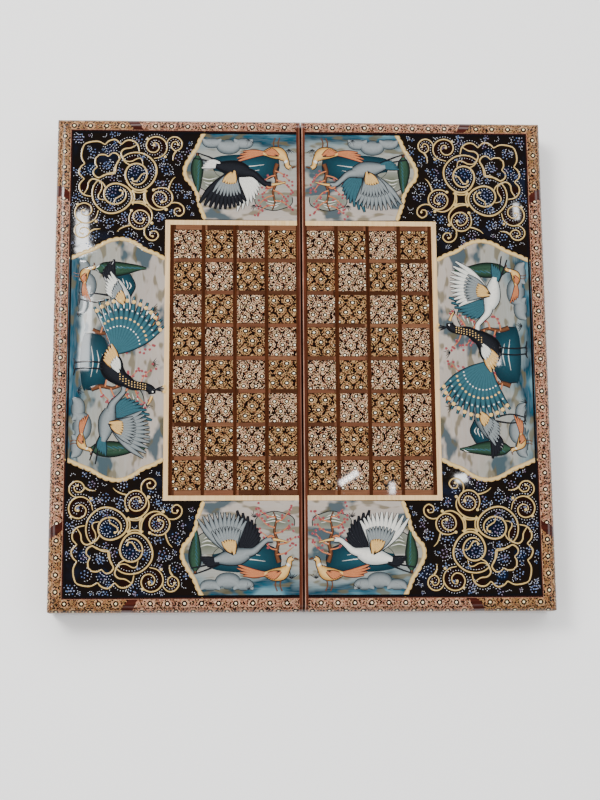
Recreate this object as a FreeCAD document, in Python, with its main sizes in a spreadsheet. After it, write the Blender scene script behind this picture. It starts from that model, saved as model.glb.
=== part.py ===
import FreeCAD
import Part
import Sketcher
import math
import os
from FreeCAD import Vector

# A folding games box inlaid with khatam, lying open and flat with its chess side up.
# Millimetres, +Z up, X across the two halves, Y along the seam between them.
# The origin is under the middle of the seam, where the hinge barrels touch the table.
# Every piece is worked out for the right half first. The left half is its mirror image
# across the seam, apart from the hinge knuckles, which interleave.

doc = FreeCAD.newDocument("GamesBox")

SIZES = [
    ("half_width", 249.6, "width of one half, across the seam"),
    ("board_length", 505.0, "length of each half, along the seam"),
    ("half_depth", 44.0, "rim to playing surface of one half"),
    ("seam_gap", 0.8, "between the two halves when open flat"),
    ("closing_gap", 0.4, "between the two rims when closed"),
    ("wall", 12.0, "thickness of a carcass wall"),
    ("veneer", 2.0, "thickness of the inlay sheets outside"),
    ("ply", 6.0, "thickness of the board under the inlay"),
    ("edge_radius", 9.0, "rounding of the top outer edge"),
    ("corner_radius", 3.0, "rounding of the upright corners"),
    ("side_border", 14.4, "khatam border along the outer side, seen from above"),
    ("end_border", 12.8, "khatam border along both ends, seen from above"),
    ("edge_drop", 11.0, "how far the border reaches down the side"),
    ("side_line", 1.2, "thin line between the border and the side sheet"),
    ("leaf_start", 72.0, "from a corner to its leaf divider"),
    ("leaf_width", 9.0, "width of a leaf divider"),
    ("leaf_lean", 8.5, "how far a leaf leans away from its corner"),
    ("leaf_bow", 1.3, "bow of a leaf's curved sides"),
    ("fillet_line", 1.6, "brown line inside the khatam border"),
    ("seam_strip", 4.0, "plain strip along the seam"),
    ("seam_line", 1.1, "line between seam strip and squares"),
    ("square_wide", 28.35, "chess square, across the seam"),
    ("square_long", 30.2, "chess square, along the seam"),
    ("strip_wide", 3.5, "strip between two columns of squares"),
    ("strip_long", 3.6, "strip between two rows of squares"),
    ("frame_side", 3.9, "brown frame beside the squares"),
    ("frame_end", 5.2, "brown frame above and below the squares"),
    ("cream_line", 4.9, "pale line round the chess field"),
    ("rim_strip", 2.5, "thickness of the strip on the rim"),
    ("tray_sheet", 3.0, "thickness of the backgammon field"),
    ("point_sheet", 1.0, "thickness of a backgammon point"),
    ("point_long", 180.0, "length of a backgammon point"),
    ("point_gap", 2.6, "gap between two points at their base"),
    ("lining", 1.2, "thickness of the veneer inside the walls"),
    ("hinge_place", 150.0, "from the middle to a hinge"),
    ("hinge_long", 40.0, "length of a hinge"),
    ("leaf_plate", 11.0, "width of a hinge leaf, from the axis"),
    ("plate_thick", 1.4, "thickness of a hinge leaf"),
    ("knuckle_radius", 2.2, "outer radius of the hinge barrel"),
    ("knuckle_gap", 0.3, "end play between two knuckles"),
    ("barrel_room", 0.35, "clearance round the hinge barrel"),
    ("leaf_room", 0.1, "clearance round a hinge leaf"),
    ("pin_radius", 1.1, "radius of a hinge pin"),
    ("pin_room", 0.05, "running clearance of a hinge pin"),
    ("screw_place", 7.2, "hinge axis to the row of screws"),
    ("screw_pitch", 24.0, "between two screws of a leaf"),
    ("screw_head", 2.1, "radius of a screw head"),
    ("screw_shank", 1.1, "radius of a screw shank"),
    ("screw_long", 10.0, "length of a screw"),
    ("screw_room", 0.05, "clearance round a screw"),
    ("magnet_radius", 4.0, "radius of a closing magnet"),
    ("magnet_thick", 2.0, "thickness of a closing magnet"),
    ("magnet_room", 0.05, "clearance round a magnet"),
]

sheet = doc.addObject("Spreadsheet::Sheet", "Sizes")
for row, (alias, number, meaning) in enumerate(SIZES, 1):
    sheet.set(f"A{row}", meaning)
    sheet.set(f"B{row}", str(number))
    sheet.setAlias(f"B{row}", alias)
doc.recompute()


class Measure:
    """A length as an expression on the sheet's cells, with the value it has now."""

    def __init__(self, text, value):
        self.text = text
        self.value = value

    def joined(self, other, sign, value):
        return Measure(f"({self.text} {sign} {other.text})", value)

    def __add__(self, other):
        other = measure(other)
        return self.joined(other, "+", self.value + other.value)

    def __sub__(self, other):
        other = measure(other)
        return self.joined(other, "-", self.value - other.value)

    def __mul__(self, other):
        other = measure(other)
        return self.joined(other, "*", self.value * other.value)

    def __truediv__(self, other):
        other = measure(other)
        return self.joined(other, "/", self.value / other.value)

    def __neg__(self):
        return Measure(f"(0 - {self.text})", -self.value)

    def root(self):
        return Measure(f"sqrt({self.text})", math.sqrt(self.value))


def measure(number):
    """A Measure as it is, or a plain number as one."""
    if isinstance(number, Measure):
        return number
    return Measure(repr(float(number)), float(number))


def cell(alias):
    return Measure(f"Sizes.{alias}", float(sheet.get(alias)))


half_width = cell("half_width")
board_length = cell("board_length")
wall = cell("wall")
veneer = cell("veneer")
ply = cell("ply")
edge_radius = cell("edge_radius")
corner_radius = cell("corner_radius")
side_border = cell("side_border")
end_border = cell("end_border")
fillet_line = cell("fillet_line")
cream_line = cell("cream_line")
square_wide = cell("square_wide")
square_long = cell("square_long")
strip_wide = cell("strip_wide")
strip_long = cell("strip_long")
lining = cell("lining")
hinge_long = cell("hinge_long")
plate_thick = cell("plate_thick")
knuckle_radius = cell("knuckle_radius")
pin_radius = cell("pin_radius")

# Levels and faces of the right half.
AXIS_Z = knuckle_radius
RIM_Z = AXIS_Z + cell("closing_gap") / 2
WALL_Z = RIM_Z + cell("rim_strip")
TOP_Z = RIM_Z + cell("half_depth")
BED_Z = TOP_Z - veneer
PLY_Z = BED_Z - ply
TRAY_Z = PLY_Z - cell("tray_sheet")
EDGE_Z = TOP_Z - cell("edge_drop")
LINE_Z = EDGE_Z - cell("side_line")
SEAM_X = cell("seam_gap") / 2
OUTER_X = SEAM_X + half_width
CORE_X = OUTER_X - veneer
INNER_X = CORE_X - wall
END_Y = board_length / 2
CORE_Y = END_Y - veneer
INNER_Y = CORE_Y - wall
BAR_X = SEAM_X + wall
STRIP_X = SEAM_X + cell("seam_strip")
PAINT_X = OUTER_X - side_border - fillet_line
PAINT_Y = END_Y - end_border - fillet_line

# The chess field of one half: four columns and eight rows.
COLUMNS = 4
ROWS = 8
PITCH_X = square_wide + strip_wide
PITCH_Y = square_long + strip_long
SQUARES_X = STRIP_X + cell("seam_line")
SQUARES_Y = PITCH_Y * (ROWS / 2) - strip_long / 2
FRAME_X = SQUARES_X + PITCH_X * COLUMNS - strip_wide + cell("frame_side")
FRAME_Y = SQUARES_Y + cell("frame_end")
CREAM_X = FRAME_X + cream_line
CREAM_Y = FRAME_Y + cream_line

kept = []


def keep(piece, label):
    """Marks a piece as one that is written to its own file."""
    piece.Label = label
    kept.append(piece)
    return piece


def block(name, x, y, z):
    """A box between two measures along each axis."""
    box = doc.addObject("Part::Box", name)
    for size, place, (low, high) in zip(("Length", "Width", "Height"), "xyz", (x, y, z)):
        box.setExpression(size, (measure(high) - low).text)
        box.setExpression(f"Placement.Base.{place}", measure(low).text)
    return box


def rod(name, radius, length, base, axis):
    """A cylinder from a base point along the named axis."""
    turn = {"x": ((0, 1, 0), 90), "y": ((1, 0, 0), -90), "z": ((0, 0, 1), 0)}[axis]
    cylinder = doc.addObject("Part::Cylinder", name)
    cylinder.setExpression("Radius", measure(radius).text)
    cylinder.setExpression("Height", measure(length).text)
    cylinder.Placement = FreeCAD.Placement(Vector(), FreeCAD.Rotation(Vector(*turn[0]), turn[1]))
    for place, number in zip("xyz", base):
        cylinder.setExpression(f"Placement.Base.{place}", measure(number).text)
    return cylinder


def mirrored(name, piece, normal):
    """The mirror image of a piece through the origin plane with this normal."""
    image = doc.addObject("Part::Mirroring", name)
    image.Source = piece
    image.Normal = normal
    return image


def group(name, *pieces):
    bundle = doc.addObject("Part::Compound", name)
    bundle.Links = list(pieces)
    return bundle


def both_ends(name, piece):
    """A piece at the rear end and its mirror image at the front end."""
    return group(name, piece, mirrored(f"{name}_front", piece, Vector(0, 1, 0)))


def cut(name, base, *tools):
    """Base less the tools."""
    tool = tools[0]
    if len(tools) > 1:
        tool = doc.addObject("Part::MultiFuse", f"{name}_tools")
        tool.Shapes = list(tools)
    found = doc.addObject("Part::Cut", name)
    found.Base = base
    found.Tool = tool
    return found


def fused(name, *pieces):
    whole = doc.addObject("Part::MultiFuse", name)
    whole.Shapes = list(pieces)
    return whole


def common(name, base, tool):
    found = doc.addObject("Part::Common", name)
    found.Base = base
    found.Tool = tool
    return found


def draw(sketch, corners):
    """Closed outline through (across, up) corners, each held by two distances from the
    sketch's origin. A third entry makes the edge that ends at this corner an arc of that
    radius: positive to bulge to the right of the way round, negative to the left."""
    points = [(measure(corner[0]), measure(corner[1])) for corner in corners]
    spots = [Vector(across.value, up.value, 0) for across, up in points]
    count = len(corners)
    radii = {}
    starts = []
    for i in range(count):
        here = spots[i]
        after = spots[(i + 1) % count]
        bend = corners[(i + 1) % count][2:]
        if bend:
            radius = measure(bend[0])
            chord = after - here
            rise = abs(radius.value) - math.sqrt(radius.value**2 - chord.Length**2 / 4)
            right = Vector(chord.y, -chord.x, 0) / chord.Length
            crown = (here + after) / 2 + right * math.copysign(rise, radius.value)
            ends = (here, crown, after)
            starts.append(1)
            if radius.value < 0:
                # The sketch takes every arc as running anticlockwise.
                ends = (after, crown, here)
                starts[i] = 2
                radius = -radius
            radii[sketch.addGeometry(Part.Arc(*ends), False)] = radius
        else:
            starts.append(1)
            sketch.addGeometry(Part.LineSegment(here, after), False)
    for i in range(count):
        follower = (i + 1) % count
        joint = Sketcher.Constraint("Coincident", i, 3 - starts[i], follower, starts[follower])
        sketch.addConstraint(joint)
    for i in range(count):
        for kind, number in zip(("DistanceX", "DistanceY"), points[i]):
            held = Sketcher.Constraint(kind, -1, 1, i, starts[i], number.value)
            sketch.setExpression(f"Constraints[{sketch.addConstraint(held)}]", number.text)
    for index, radius in radii.items():
        held = Sketcher.Constraint("Radius", index, radius.value)
        sketch.setExpression(f"Constraints[{sketch.addConstraint(held)}]", radius.text)


# Each plane's turn, and the axis that its outlines are drawn out along.
PLANES = {
    "plan": (FreeCAD.Rotation(), "z"),
    "section": (FreeCAD.Rotation(Vector(1, 0, 0), 90), "y"),
    "side": (FreeCAD.Rotation(Vector(1, 1, 1), 120), "x"),
}


def prism(name, plane, corners, start, length):
    """An outline drawn out: the plan along +Z, the section along -Y, the side along +X."""
    turn, axis = PLANES[plane]
    sketch = doc.addObject("Sketcher::SketchObject", f"{name}_outline")
    sketch.Placement = FreeCAD.Placement(Vector(), turn)
    draw(sketch, corners)
    sketch.setExpression(f"Placement.Base.{axis}", measure(start).text)
    solid = doc.addObject("Part::Extrusion", name)
    solid.Base = sketch
    solid.DirMode = "Normal"
    solid.setExpression("LengthFwd", measure(length).text)
    solid.Solid = True
    return solid


def both_halves(name, piece, other=None):
    """The right half's piece, and its mirror image across the seam in the left half."""
    keep(piece, f"right_{name}")
    keep(mirrored(f"left_{name}_image", other or piece, Vector(1, 0, 0)), f"left_{name}")


# Corners in plan. What runs along the outer side and what runs along an end meet on a
# line at 45 degrees from the outer corner, which is rounded, as far in as the reach.
CORNER_CUT = corner_radius * (1 - math.sqrt(0.5))


def side_region(name, reach):
    """All that belongs to the outer side."""
    far = OUTER_X - reach - side_border
    corners = [
        (OUTER_X, -END_Y + corner_radius, corner_radius),
        (OUTER_X, END_Y - corner_radius),
        (OUTER_X - CORNER_CUT, END_Y - CORNER_CUT, corner_radius),
        (OUTER_X - reach, END_Y - reach),
        (far, END_Y - reach),
        (far, -END_Y + reach),
        (OUTER_X - reach, -END_Y + reach),
        (OUTER_X - CORNER_CUT, -END_Y + CORNER_CUT),
    ]
    return prism(name, "plan", corners, RIM_Z, TOP_Z - RIM_Z)


def end_region(name, reach):
    """All that belongs to the rear end."""
    corners = [
        (SEAM_X, END_Y - reach),
        (OUTER_X - reach, END_Y - reach),
        (OUTER_X - CORNER_CUT, END_Y - CORNER_CUT),
        (OUTER_X - corner_radius, END_Y, corner_radius),
        (SEAM_X, END_Y),
    ]
    return prism(name, "plan", corners, RIM_Z, TOP_Z - RIM_Z)


carcass_reach = veneer + wall + lining
carcass_side = side_region("carcass_side", carcass_reach)
carcass_end = end_region("carcass_end", carcass_reach)
border_side = side_region("border_side", end_border)
border_end = end_region("border_end", end_border)


# Carcass: a board on four walls. The outer walls are rounded over at the top, below the
# inlay, and have a shoulder that the board lies on.
def wall_profile(inner, core, outer):
    """Section of an outer wall, from its inner face to its outer one."""
    return [
        (inner, WALL_Z),
        (core, WALL_Z),
        (core, TOP_Z - edge_radius),
        (outer - edge_radius, BED_Z, edge_radius - veneer),
        (outer - edge_radius, PLY_Z),
        (inner, PLY_Z),
    ]


core_board = block(
    "core_board",
    (SEAM_X, OUTER_X - edge_radius),
    (-END_Y + edge_radius, END_Y - edge_radius),
    (PLY_Z, BED_Z),
)
outer_bar = prism("outer_bar", "section", wall_profile(INNER_X, CORE_X, OUTER_X), END_Y, board_length)
outer_wall = common("outer_wall", outer_bar, carcass_side)
end_bar = prism("end_bar", "side", wall_profile(INNER_Y, CORE_Y, END_Y), SEAM_X, half_width)
rear_wall = common("rear_wall", end_bar, carcass_end)
both_halves("core_board", core_board)
both_halves("outer_wall", outer_wall)
both_halves("rear_wall", rear_wall)
both_halves("front_wall", mirrored("front_wall", rear_wall, Vector(0, 1, 0)))


# Khatam border: a sheet that follows the rounded edge, in sections parted by leaves.
def border_profile(border, outer):
    """Section of the border sheet, from the playing surface round to its lower edge."""
    core = outer - veneer
    crown = outer - edge_radius
    return [
        (core, EDGE_Z),
        (outer, EDGE_Z),
        (outer, TOP_Z - edge_radius),
        (crown, TOP_Z, edge_radius),
        (outer - border, TOP_Z),
        (outer - border, BED_Z),
        (crown, BED_Z),
        (core, TOP_Z - edge_radius, -(edge_radius - veneer)),
    ]


side_sheet_bar = prism(
    "side_border_bar", "section", border_profile(side_border, OUTER_X), END_Y, board_length
)
end_sheet_bar = prism(
    "end_border_bar", "side", border_profile(end_border, END_Y), STRIP_X, OUTER_X - STRIP_X
)
side_arm = common("side_arm", side_sheet_bar, border_side)
end_arm = common("end_arm", end_sheet_bar, border_end)


def on_side(depth, along, *bend):
    """A plan point on the outer side, by its distances from the side and the rear end."""
    return (OUTER_X - depth, END_Y - along, *bend)


def on_end(depth, along, *bend):
    """The same on the rear end, where left and right change places."""
    return (OUTER_X - along, END_Y - depth, *(-radius for radius in bend))


LEAF_NEAR = cell("leaf_start")
LEAF_FAR = LEAF_NEAR + cell("leaf_width")
LEAF_LEAN = cell("leaf_lean")
LEAF_BOW = cell("leaf_bow")
OVERSHOOT = veneer


def leaf_radius(border):
    """Radius of a leaf's corner side. Its other side is an S of two arcs of half of it."""
    half_chord = (border * border + LEAF_LEAN * LEAF_LEAN) / 4
    return (half_chord + LEAF_BOW * LEAF_BOW) / (LEAF_BOW * 2)


def leaf_plan(spot, border):
    bow = leaf_radius(border)
    return [
        spot(-OVERSHOOT, LEAF_FAR),
        spot(-OVERSHOOT, LEAF_NEAR),
        spot(measure(0), LEAF_NEAR),
        spot(border, LEAF_NEAR + LEAF_LEAN, bow),
        spot(border, LEAF_FAR + LEAF_LEAN),
        spot(border / 2, LEAF_FAR + LEAF_LEAN / 2, -bow / 2),
        spot(measure(0), LEAF_FAR, bow / 2),
    ]


def middle_plan(spot, border, ending):
    """The section between the leaf and what the ending's points close it with."""
    bow = leaf_radius(border)
    return [
        spot(-OVERSHOOT, LEAF_FAR),
        spot(measure(0), LEAF_FAR),
        spot(border / 2, LEAF_FAR + LEAF_LEAN / 2, -bow / 2),
        spot(border, LEAF_FAR + LEAF_LEAN, bow / 2),
        *(spot(*point) for point in ending),
    ]


front_ending = [
    (side_border, board_length - LEAF_FAR - LEAF_LEAN),
    (side_border / 2, board_length - LEAF_FAR - LEAF_LEAN / 2, leaf_radius(side_border) / 2),
    (measure(0), board_length - LEAF_FAR, -leaf_radius(side_border) / 2),
    (-OVERSHOOT, board_length - LEAF_FAR),
]
seam_ending = [(end_border, OUTER_X - STRIP_X), (-OVERSHOOT, OUTER_X - STRIP_X)]
drop = (EDGE_Z, TOP_Z - EDGE_Z)
side_leaf_region = prism("side_leaf_region", "plan", leaf_plan(on_side, side_border), *drop)
end_leaf_region = prism("end_leaf_region", "plan", leaf_plan(on_end, end_border), *drop)
side_middle_region = prism(
    "side_middle_region", "plan", middle_plan(on_side, side_border, front_ending), *drop
)
end_middle_region = prism(
    "end_middle_region", "plan", middle_plan(on_end, end_border, seam_ending), *drop
)
front_leaf_region = mirrored("front_leaf_region", side_leaf_region, Vector(0, 1, 0))
side_corners = cut("side_corners", side_arm, side_leaf_region, side_middle_region, front_leaf_region)
end_corner = cut("end_corner", end_arm, end_leaf_region, end_middle_region)
side_leaf = common("side_leaf", side_arm, side_leaf_region)
end_leaf = common("end_leaf", end_arm, end_leaf_region)
side_middle = common("side_middle", side_arm, side_middle_region)
end_middle = common("end_middle", end_arm, end_middle_region)
both_halves("edge_corners", group("edge_corners", side_corners, both_ends("end_corners", end_corner)))
both_halves(
    "leaf_dividers",
    group("leaf_dividers", both_ends("side_leaves", side_leaf), both_ends("end_leaves", end_leaf)),
)
both_halves("edge_middles", group("edge_middles", side_middle, both_ends("end_middles", end_middle)))


# Side sheets below the border, with a thin line between.
def round_three_sides(name, levels):
    """A sheet on the outer side and on both ends, as thick as the veneer."""
    side = block(f"{name}_side_bar", (CORE_X, OUTER_X), (-END_Y, END_Y), levels)
    end = block(f"{name}_end_bar", (SEAM_X, OUTER_X), (CORE_Y, END_Y), levels)
    side_piece = common(f"{name}_side", side, carcass_side)
    end_piece = common(f"{name}_end", end, carcass_end)
    return group(name, side_piece, both_ends(f"{name}_ends", end_piece))


both_halves("side_lines", round_three_sides("side_lines", (LINE_Z, EDGE_Z)))
both_halves("side_sheets", round_three_sides("side_sheets", (WALL_Z, LINE_Z)))

# Plain strip along the seam. It runs through the border and over both rounded edges.
seam_profile = [
    (END_Y, EDGE_Z),
    (END_Y, TOP_Z - edge_radius),
    (END_Y - edge_radius, TOP_Z, edge_radius),
    (-END_Y + edge_radius, TOP_Z),
    (-END_Y, TOP_Z - edge_radius, edge_radius),
    (-END_Y, EDGE_Z),
    (-CORE_Y, EDGE_Z),
    (-CORE_Y, TOP_Z - edge_radius),
    (-END_Y + edge_radius, BED_Z, -(edge_radius - veneer)),
    (END_Y - edge_radius, BED_Z),
    (CORE_Y, TOP_Z - edge_radius, -(edge_radius - veneer)),
    (CORE_Y, EDGE_Z),
]
both_halves("seam_strip", prism("seam_strip", "side", seam_profile, SEAM_X, STRIP_X - SEAM_X))

# Inlay of the playing surface, all of one thickness and flush.
inlay = (BED_Z, TOP_Z)
BORDER_X = OUTER_X - side_border
BORDER_Y = END_Y - end_border
fillet_side = block("fillet_side", (PAINT_X, BORDER_X), (-BORDER_Y, BORDER_Y), inlay)
fillet_end = block("fillet_end", (STRIP_X, PAINT_X), (PAINT_Y, BORDER_Y), inlay)
both_halves("field_fillet", group("field_fillet", fillet_side, both_ends("fillet_ends", fillet_end)))

painted_sheet = block("painted_sheet", (STRIP_X, PAINT_X), (-PAINT_Y, PAINT_Y), inlay)
chess_field = block("chess_field", (STRIP_X, CREAM_X), (-CREAM_Y, CREAM_Y), inlay)
both_halves("painted_panel", cut("painted_panel", painted_sheet, chess_field))

cream_side = prism(
    "cream_side",
    "plan",
    [(FRAME_X, -FRAME_Y), (CREAM_X, -CREAM_Y), (CREAM_X, CREAM_Y), (FRAME_X, FRAME_Y)],
    BED_Z,
    veneer,
)
cream_end = prism(
    "cream_end",
    "plan",
    [(STRIP_X, FRAME_Y), (FRAME_X, FRAME_Y), (CREAM_X, CREAM_Y), (STRIP_X, CREAM_Y)],
    BED_Z,
    veneer,
)
both_halves("cream_line", group("cream_line", cream_side, both_ends("cream_ends", cream_end)))

light = []
dark = []
for column in range(COLUMNS):
    for row in range(ROWS):
        low_x = SQUARES_X + PITCH_X * column
        low_y = SQUARES_Y - PITCH_Y * row - square_long
        span = ((low_x, low_x + square_wide), (low_y, low_y + square_long))
        tone, shelf = (("light", light), ("dark", dark))[(column + row) % 2]
        shelf.append(block(f"{tone}_square_{column}_{row}", *span, inlay))
light_squares = group("light_squares", *light)
dark_squares = group("dark_squares", *dark)
lattice_sheet = block("lattice_sheet", (STRIP_X, FRAME_X), (-FRAME_Y, FRAME_Y), inlay)
both_halves("square_lattice", cut("square_lattice", lattice_sheet, light_squares, dark_squares))
both_halves("light_squares", light_squares, dark_squares)
both_halves("dark_squares", dark_squares, light_squares)

# Backgammon side: a panel under the board with twelve inlaid points in each half, and a
# thin lining on the walls round it.
FIELD_LOW = BAR_X + lining
FIELD_HIGH = INNER_X - lining
BASE_Y = INNER_Y
POINTS = 6
POINT_PITCH = (FIELD_HIGH - FIELD_LOW) / POINTS
point_gap = cell("point_gap")
point_long = cell("point_long")
point_sheet = cell("point_sheet")


def point_prism(name, index):
    """A long triangle, its base on the rear wall and its tip towards the middle."""
    low = FIELD_LOW + POINT_PITCH * index + point_gap / 2
    high = low + POINT_PITCH - point_gap
    tip = (low + (high - low) / 2, BASE_Y - point_long)
    return prism(name, "plan", [(high, BASE_Y), (low, BASE_Y), tip], TRAY_Z, point_sheet)


rear_points = [point_prism(f"rear_point_{index}", index) for index in range(POINTS)]
front_points = [
    mirrored(f"front_point_{index}", point, Vector(0, 1, 0))
    for index, point in enumerate(rear_points)
]
light_points = group("light_points", *rear_points[0::2], *front_points[1::2])
dark_points = group("dark_points", *rear_points[1::2], *front_points[0::2])
tray_sheet = block("tray_sheet", (BAR_X, INNER_X), (-INNER_Y, INNER_Y), (TRAY_Z, PLY_Z))
both_halves("tray_panel", cut("tray_panel", tray_sheet, light_points, dark_points))
both_halves("light_points", light_points, dark_points)
both_halves("dark_points", dark_points, light_points)

lined = (WALL_Z, TRAY_Z)
lining_outer = block("lining_outer", (FIELD_HIGH, INNER_X), (-INNER_Y, INNER_Y), lined)
lining_seam = block("lining_seam", (BAR_X, FIELD_LOW), (-INNER_Y, INNER_Y), lined)
lining_end = block("lining_end", (FIELD_LOW, FIELD_HIGH), (INNER_Y - lining, INNER_Y), lined)
both_halves(
    "tray_lining",
    group("tray_lining", lining_outer, lining_seam, both_ends("lining_ends", lining_end)),
)

# Hinges: two leaves on interleaved knuckles and a pin, let into the rims. The left leaf
# has the first and the third knuckle, the right leaf the one between them.
KNUCKLES = 3
SCREWS = 2
SCREW_FACETS = 16
HINGE_Y = cell("hinge_place")
HINGE_LOW = HINGE_Y - hinge_long / 2
HINGE_HIGH = HINGE_Y + hinge_long / 2
KNUCKLE_GAP = cell("knuckle_gap")
KNUCKLE_LONG = (hinge_long - KNUCKLE_GAP * (KNUCKLES - 1)) / KNUCKLES
PLATE_X = knuckle_radius + cell("barrel_room")
LEAF_X = cell("leaf_plate")
leaf_room = cell("leaf_room")
screw_head = cell("screw_head")
screw_shank = cell("screw_shank")
screw_long = cell("screw_long")
screw_room = cell("screw_room")
plate = (RIM_Z, RIM_Z + plate_thick)


def place_at(piece, spot):
    for axis, number in zip("xyz", spot):
        piece.setExpression(f"Placement.Base.{axis}", measure(number).text)


def screw(name, y, room):
    """A countersunk screw from the plate's face up into the wall, or its hole."""
    x = cell("screw_place")
    rings = []
    for level, radius in ((plate[0], screw_head + room), (plate[1], screw_shank + room)):
        ring = doc.addObject("Part::RegularPolygon", f"{name}_ring_{len(rings)}")
        ring.Polygon = SCREW_FACETS
        ring.setExpression("Circumradius", radius.text)
        place_at(ring, (x, y, level))
        rings.append(ring)
    head = doc.addObject("Part::Loft", f"{name}_head")
    head.Sections = rings
    head.Solid = True
    head.Ruled = True
    shank = doc.addObject("Part::Prism", f"{name}_shank")
    shank.Polygon = SCREW_FACETS
    shank.setExpression("Circumradius", (screw_shank + room).text)
    shank.setExpression("Height", (screw_long - plate_thick).text)
    place_at(shank, (x, y, plate[1]))
    return fused(name, head, shank)


def screw_row(name, room):
    middle = (SCREWS - 1) / 2
    places = [HINGE_Y + cell("screw_pitch") * (turn - middle) for turn in range(SCREWS)]
    return [screw(f"{name}_{turn}", y, room) for turn, y in enumerate(places)]


screw_holes = group("screw_holes", *screw_row("screw_hole", screw_room))


def hinge_leaf(name, own):
    """The rear hinge's leaf on the right, with its own knuckles on the common axis."""
    pieces = [block(f"{name}_plate", (PLATE_X, LEAF_X), (HINGE_LOW, HINGE_HIGH), plate)]
    for turn in own:
        low = HINGE_LOW + (KNUCKLE_LONG + KNUCKLE_GAP) * turn
        span = (low, low + KNUCKLE_LONG)
        barrel = rod(f"{name}_barrel_{turn}", knuckle_radius, KNUCKLE_LONG, (0, low, AXIS_Z), "y")
        pieces.append(barrel)
        pieces.append(block(f"{name}_neck_{turn}", (0, PLATE_X), span, plate))
    bore_base = (0, HINGE_LOW, AXIS_Z)
    bore = rod(f"{name}_bore", pin_radius + cell("pin_room"), hinge_long, bore_base, "y")
    return cut(name, fused(f"{name}_blank", *pieces), bore, screw_holes)


left_knuckles = range(0, KNUCKLES, 2)
right_knuckles = range(1, KNUCKLES, 2)
right_leaf = both_ends("right_leaf_pair", hinge_leaf("right_leaf", right_knuckles))
left_leaf = both_ends("left_leaf_pair", hinge_leaf("left_leaf", left_knuckles))
both_halves("hinge_leaves", right_leaf, left_leaf)
both_halves("hinge_screws", both_ends("screw_pairs", group("rear_screws", *screw_row("screw", 0))))
pin = rod("rear_pin", pin_radius, hinge_long, (0, HINGE_LOW, AXIS_Z), "y")
keep(both_ends("pin_pair", pin), "hinge_pins")

# The wall along the seam and the rim's strips, cut out for the hinges and the magnet.
plate_bed = block(
    "plate_bed",
    (SEAM_X, LEAF_X + leaf_room),
    (HINGE_LOW - leaf_room, HINGE_HIGH + leaf_room),
    plate,
)
barrel_bed = block(
    "barrel_bed",
    (SEAM_X, PLATE_X),
    (HINGE_LOW - leaf_room, HINGE_HIGH + leaf_room),
    (RIM_Z, WALL_Z),
)
hinge_beds = both_ends("hinge_beds", fused("rear_hinge_bed", plate_bed, barrel_bed, screw_holes))
hinge_blank = block("hinge_blank", (SEAM_X, BAR_X), (-INNER_Y, INNER_Y), (WALL_Z, PLY_Z))
both_halves("hinge_wall", cut("hinge_wall", hinge_blank, hinge_beds))

magnet_radius = cell("magnet_radius")
magnet_thick = cell("magnet_thick")
magnet_base = ((OUTER_X + INNER_X) / 2, 0, RIM_Z)
magnet_hole = rod("magnet_hole", magnet_radius + cell("magnet_room"), magnet_thick, magnet_base, "z")
both_halves("rim_magnet", rod("rim_magnet", magnet_radius, magnet_thick, magnet_base, "z"))

rim = (RIM_Z, WALL_Z)
rim_outer_bar = block("rim_outer_bar", (FIELD_HIGH, OUTER_X), (-END_Y, END_Y), rim)
rim_outer = common("rim_outer", rim_outer_bar, carcass_side)
rim_end_bar = block("rim_end_bar", (SEAM_X, OUTER_X), (INNER_Y - lining, END_Y), rim)
rim_end = common("rim_end", rim_end_bar, carcass_end)
rim_seam = block("rim_seam", (SEAM_X, FIELD_LOW), (-INNER_Y + lining, INNER_Y - lining), rim)
both_halves(
    "rim_strips",
    group(
        "rim_strips",
        cut("rim_outer_cut", rim_outer, magnet_hole),
        both_ends("rim_ends", rim_end),
        cut("rim_seam_cut", rim_seam, hinge_beds),
    ),
)

doc.recompute()

for item in doc.Objects:
    if "Invalid" in item.State or "Error" in item.State:
        raise RuntimeError(f"{item.Name} did not compute: {item.State}")
counts = {}
for piece in kept:
    shape = piece.Shape
    if shape.isNull() or not shape.isValid() or not shape.Solids:
        raise RuntimeError(f"{piece.Label} has no valid solid")
    counts[piece.Label] = len(shape.Solids)
for label, count in counts.items():
    twin = label.replace("right_", "left_")
    if counts[twin] != count:
        raise RuntimeError(f"{label} has {count} solids, but {twin} has {counts[twin]}")

os.makedirs("parts", exist_ok=True)
for piece in kept:
    piece.Shape.exportStep(f"parts/{piece.Label}.step")
print(f"{len(kept)} pieces written, of {sum(counts.values())} solids")
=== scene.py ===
# %% [markdown]
# # A folding games box inlaid with khatam
#
# The box lies open and flat with its chess side up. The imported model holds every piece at
# its real size, so this script leaves those meshes alone. It gives each one its finish,
# and adds what is too fine for the solids: the gold scrolls, the dotted flowers, the
# painted medallions and the slots of the hinge screws. Lengths below are in millimetres,
# and a mesh is turned into metres when it is made.

# %% Setup
import math

import bpy
import numpy as np
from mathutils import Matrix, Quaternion, Vector


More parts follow.
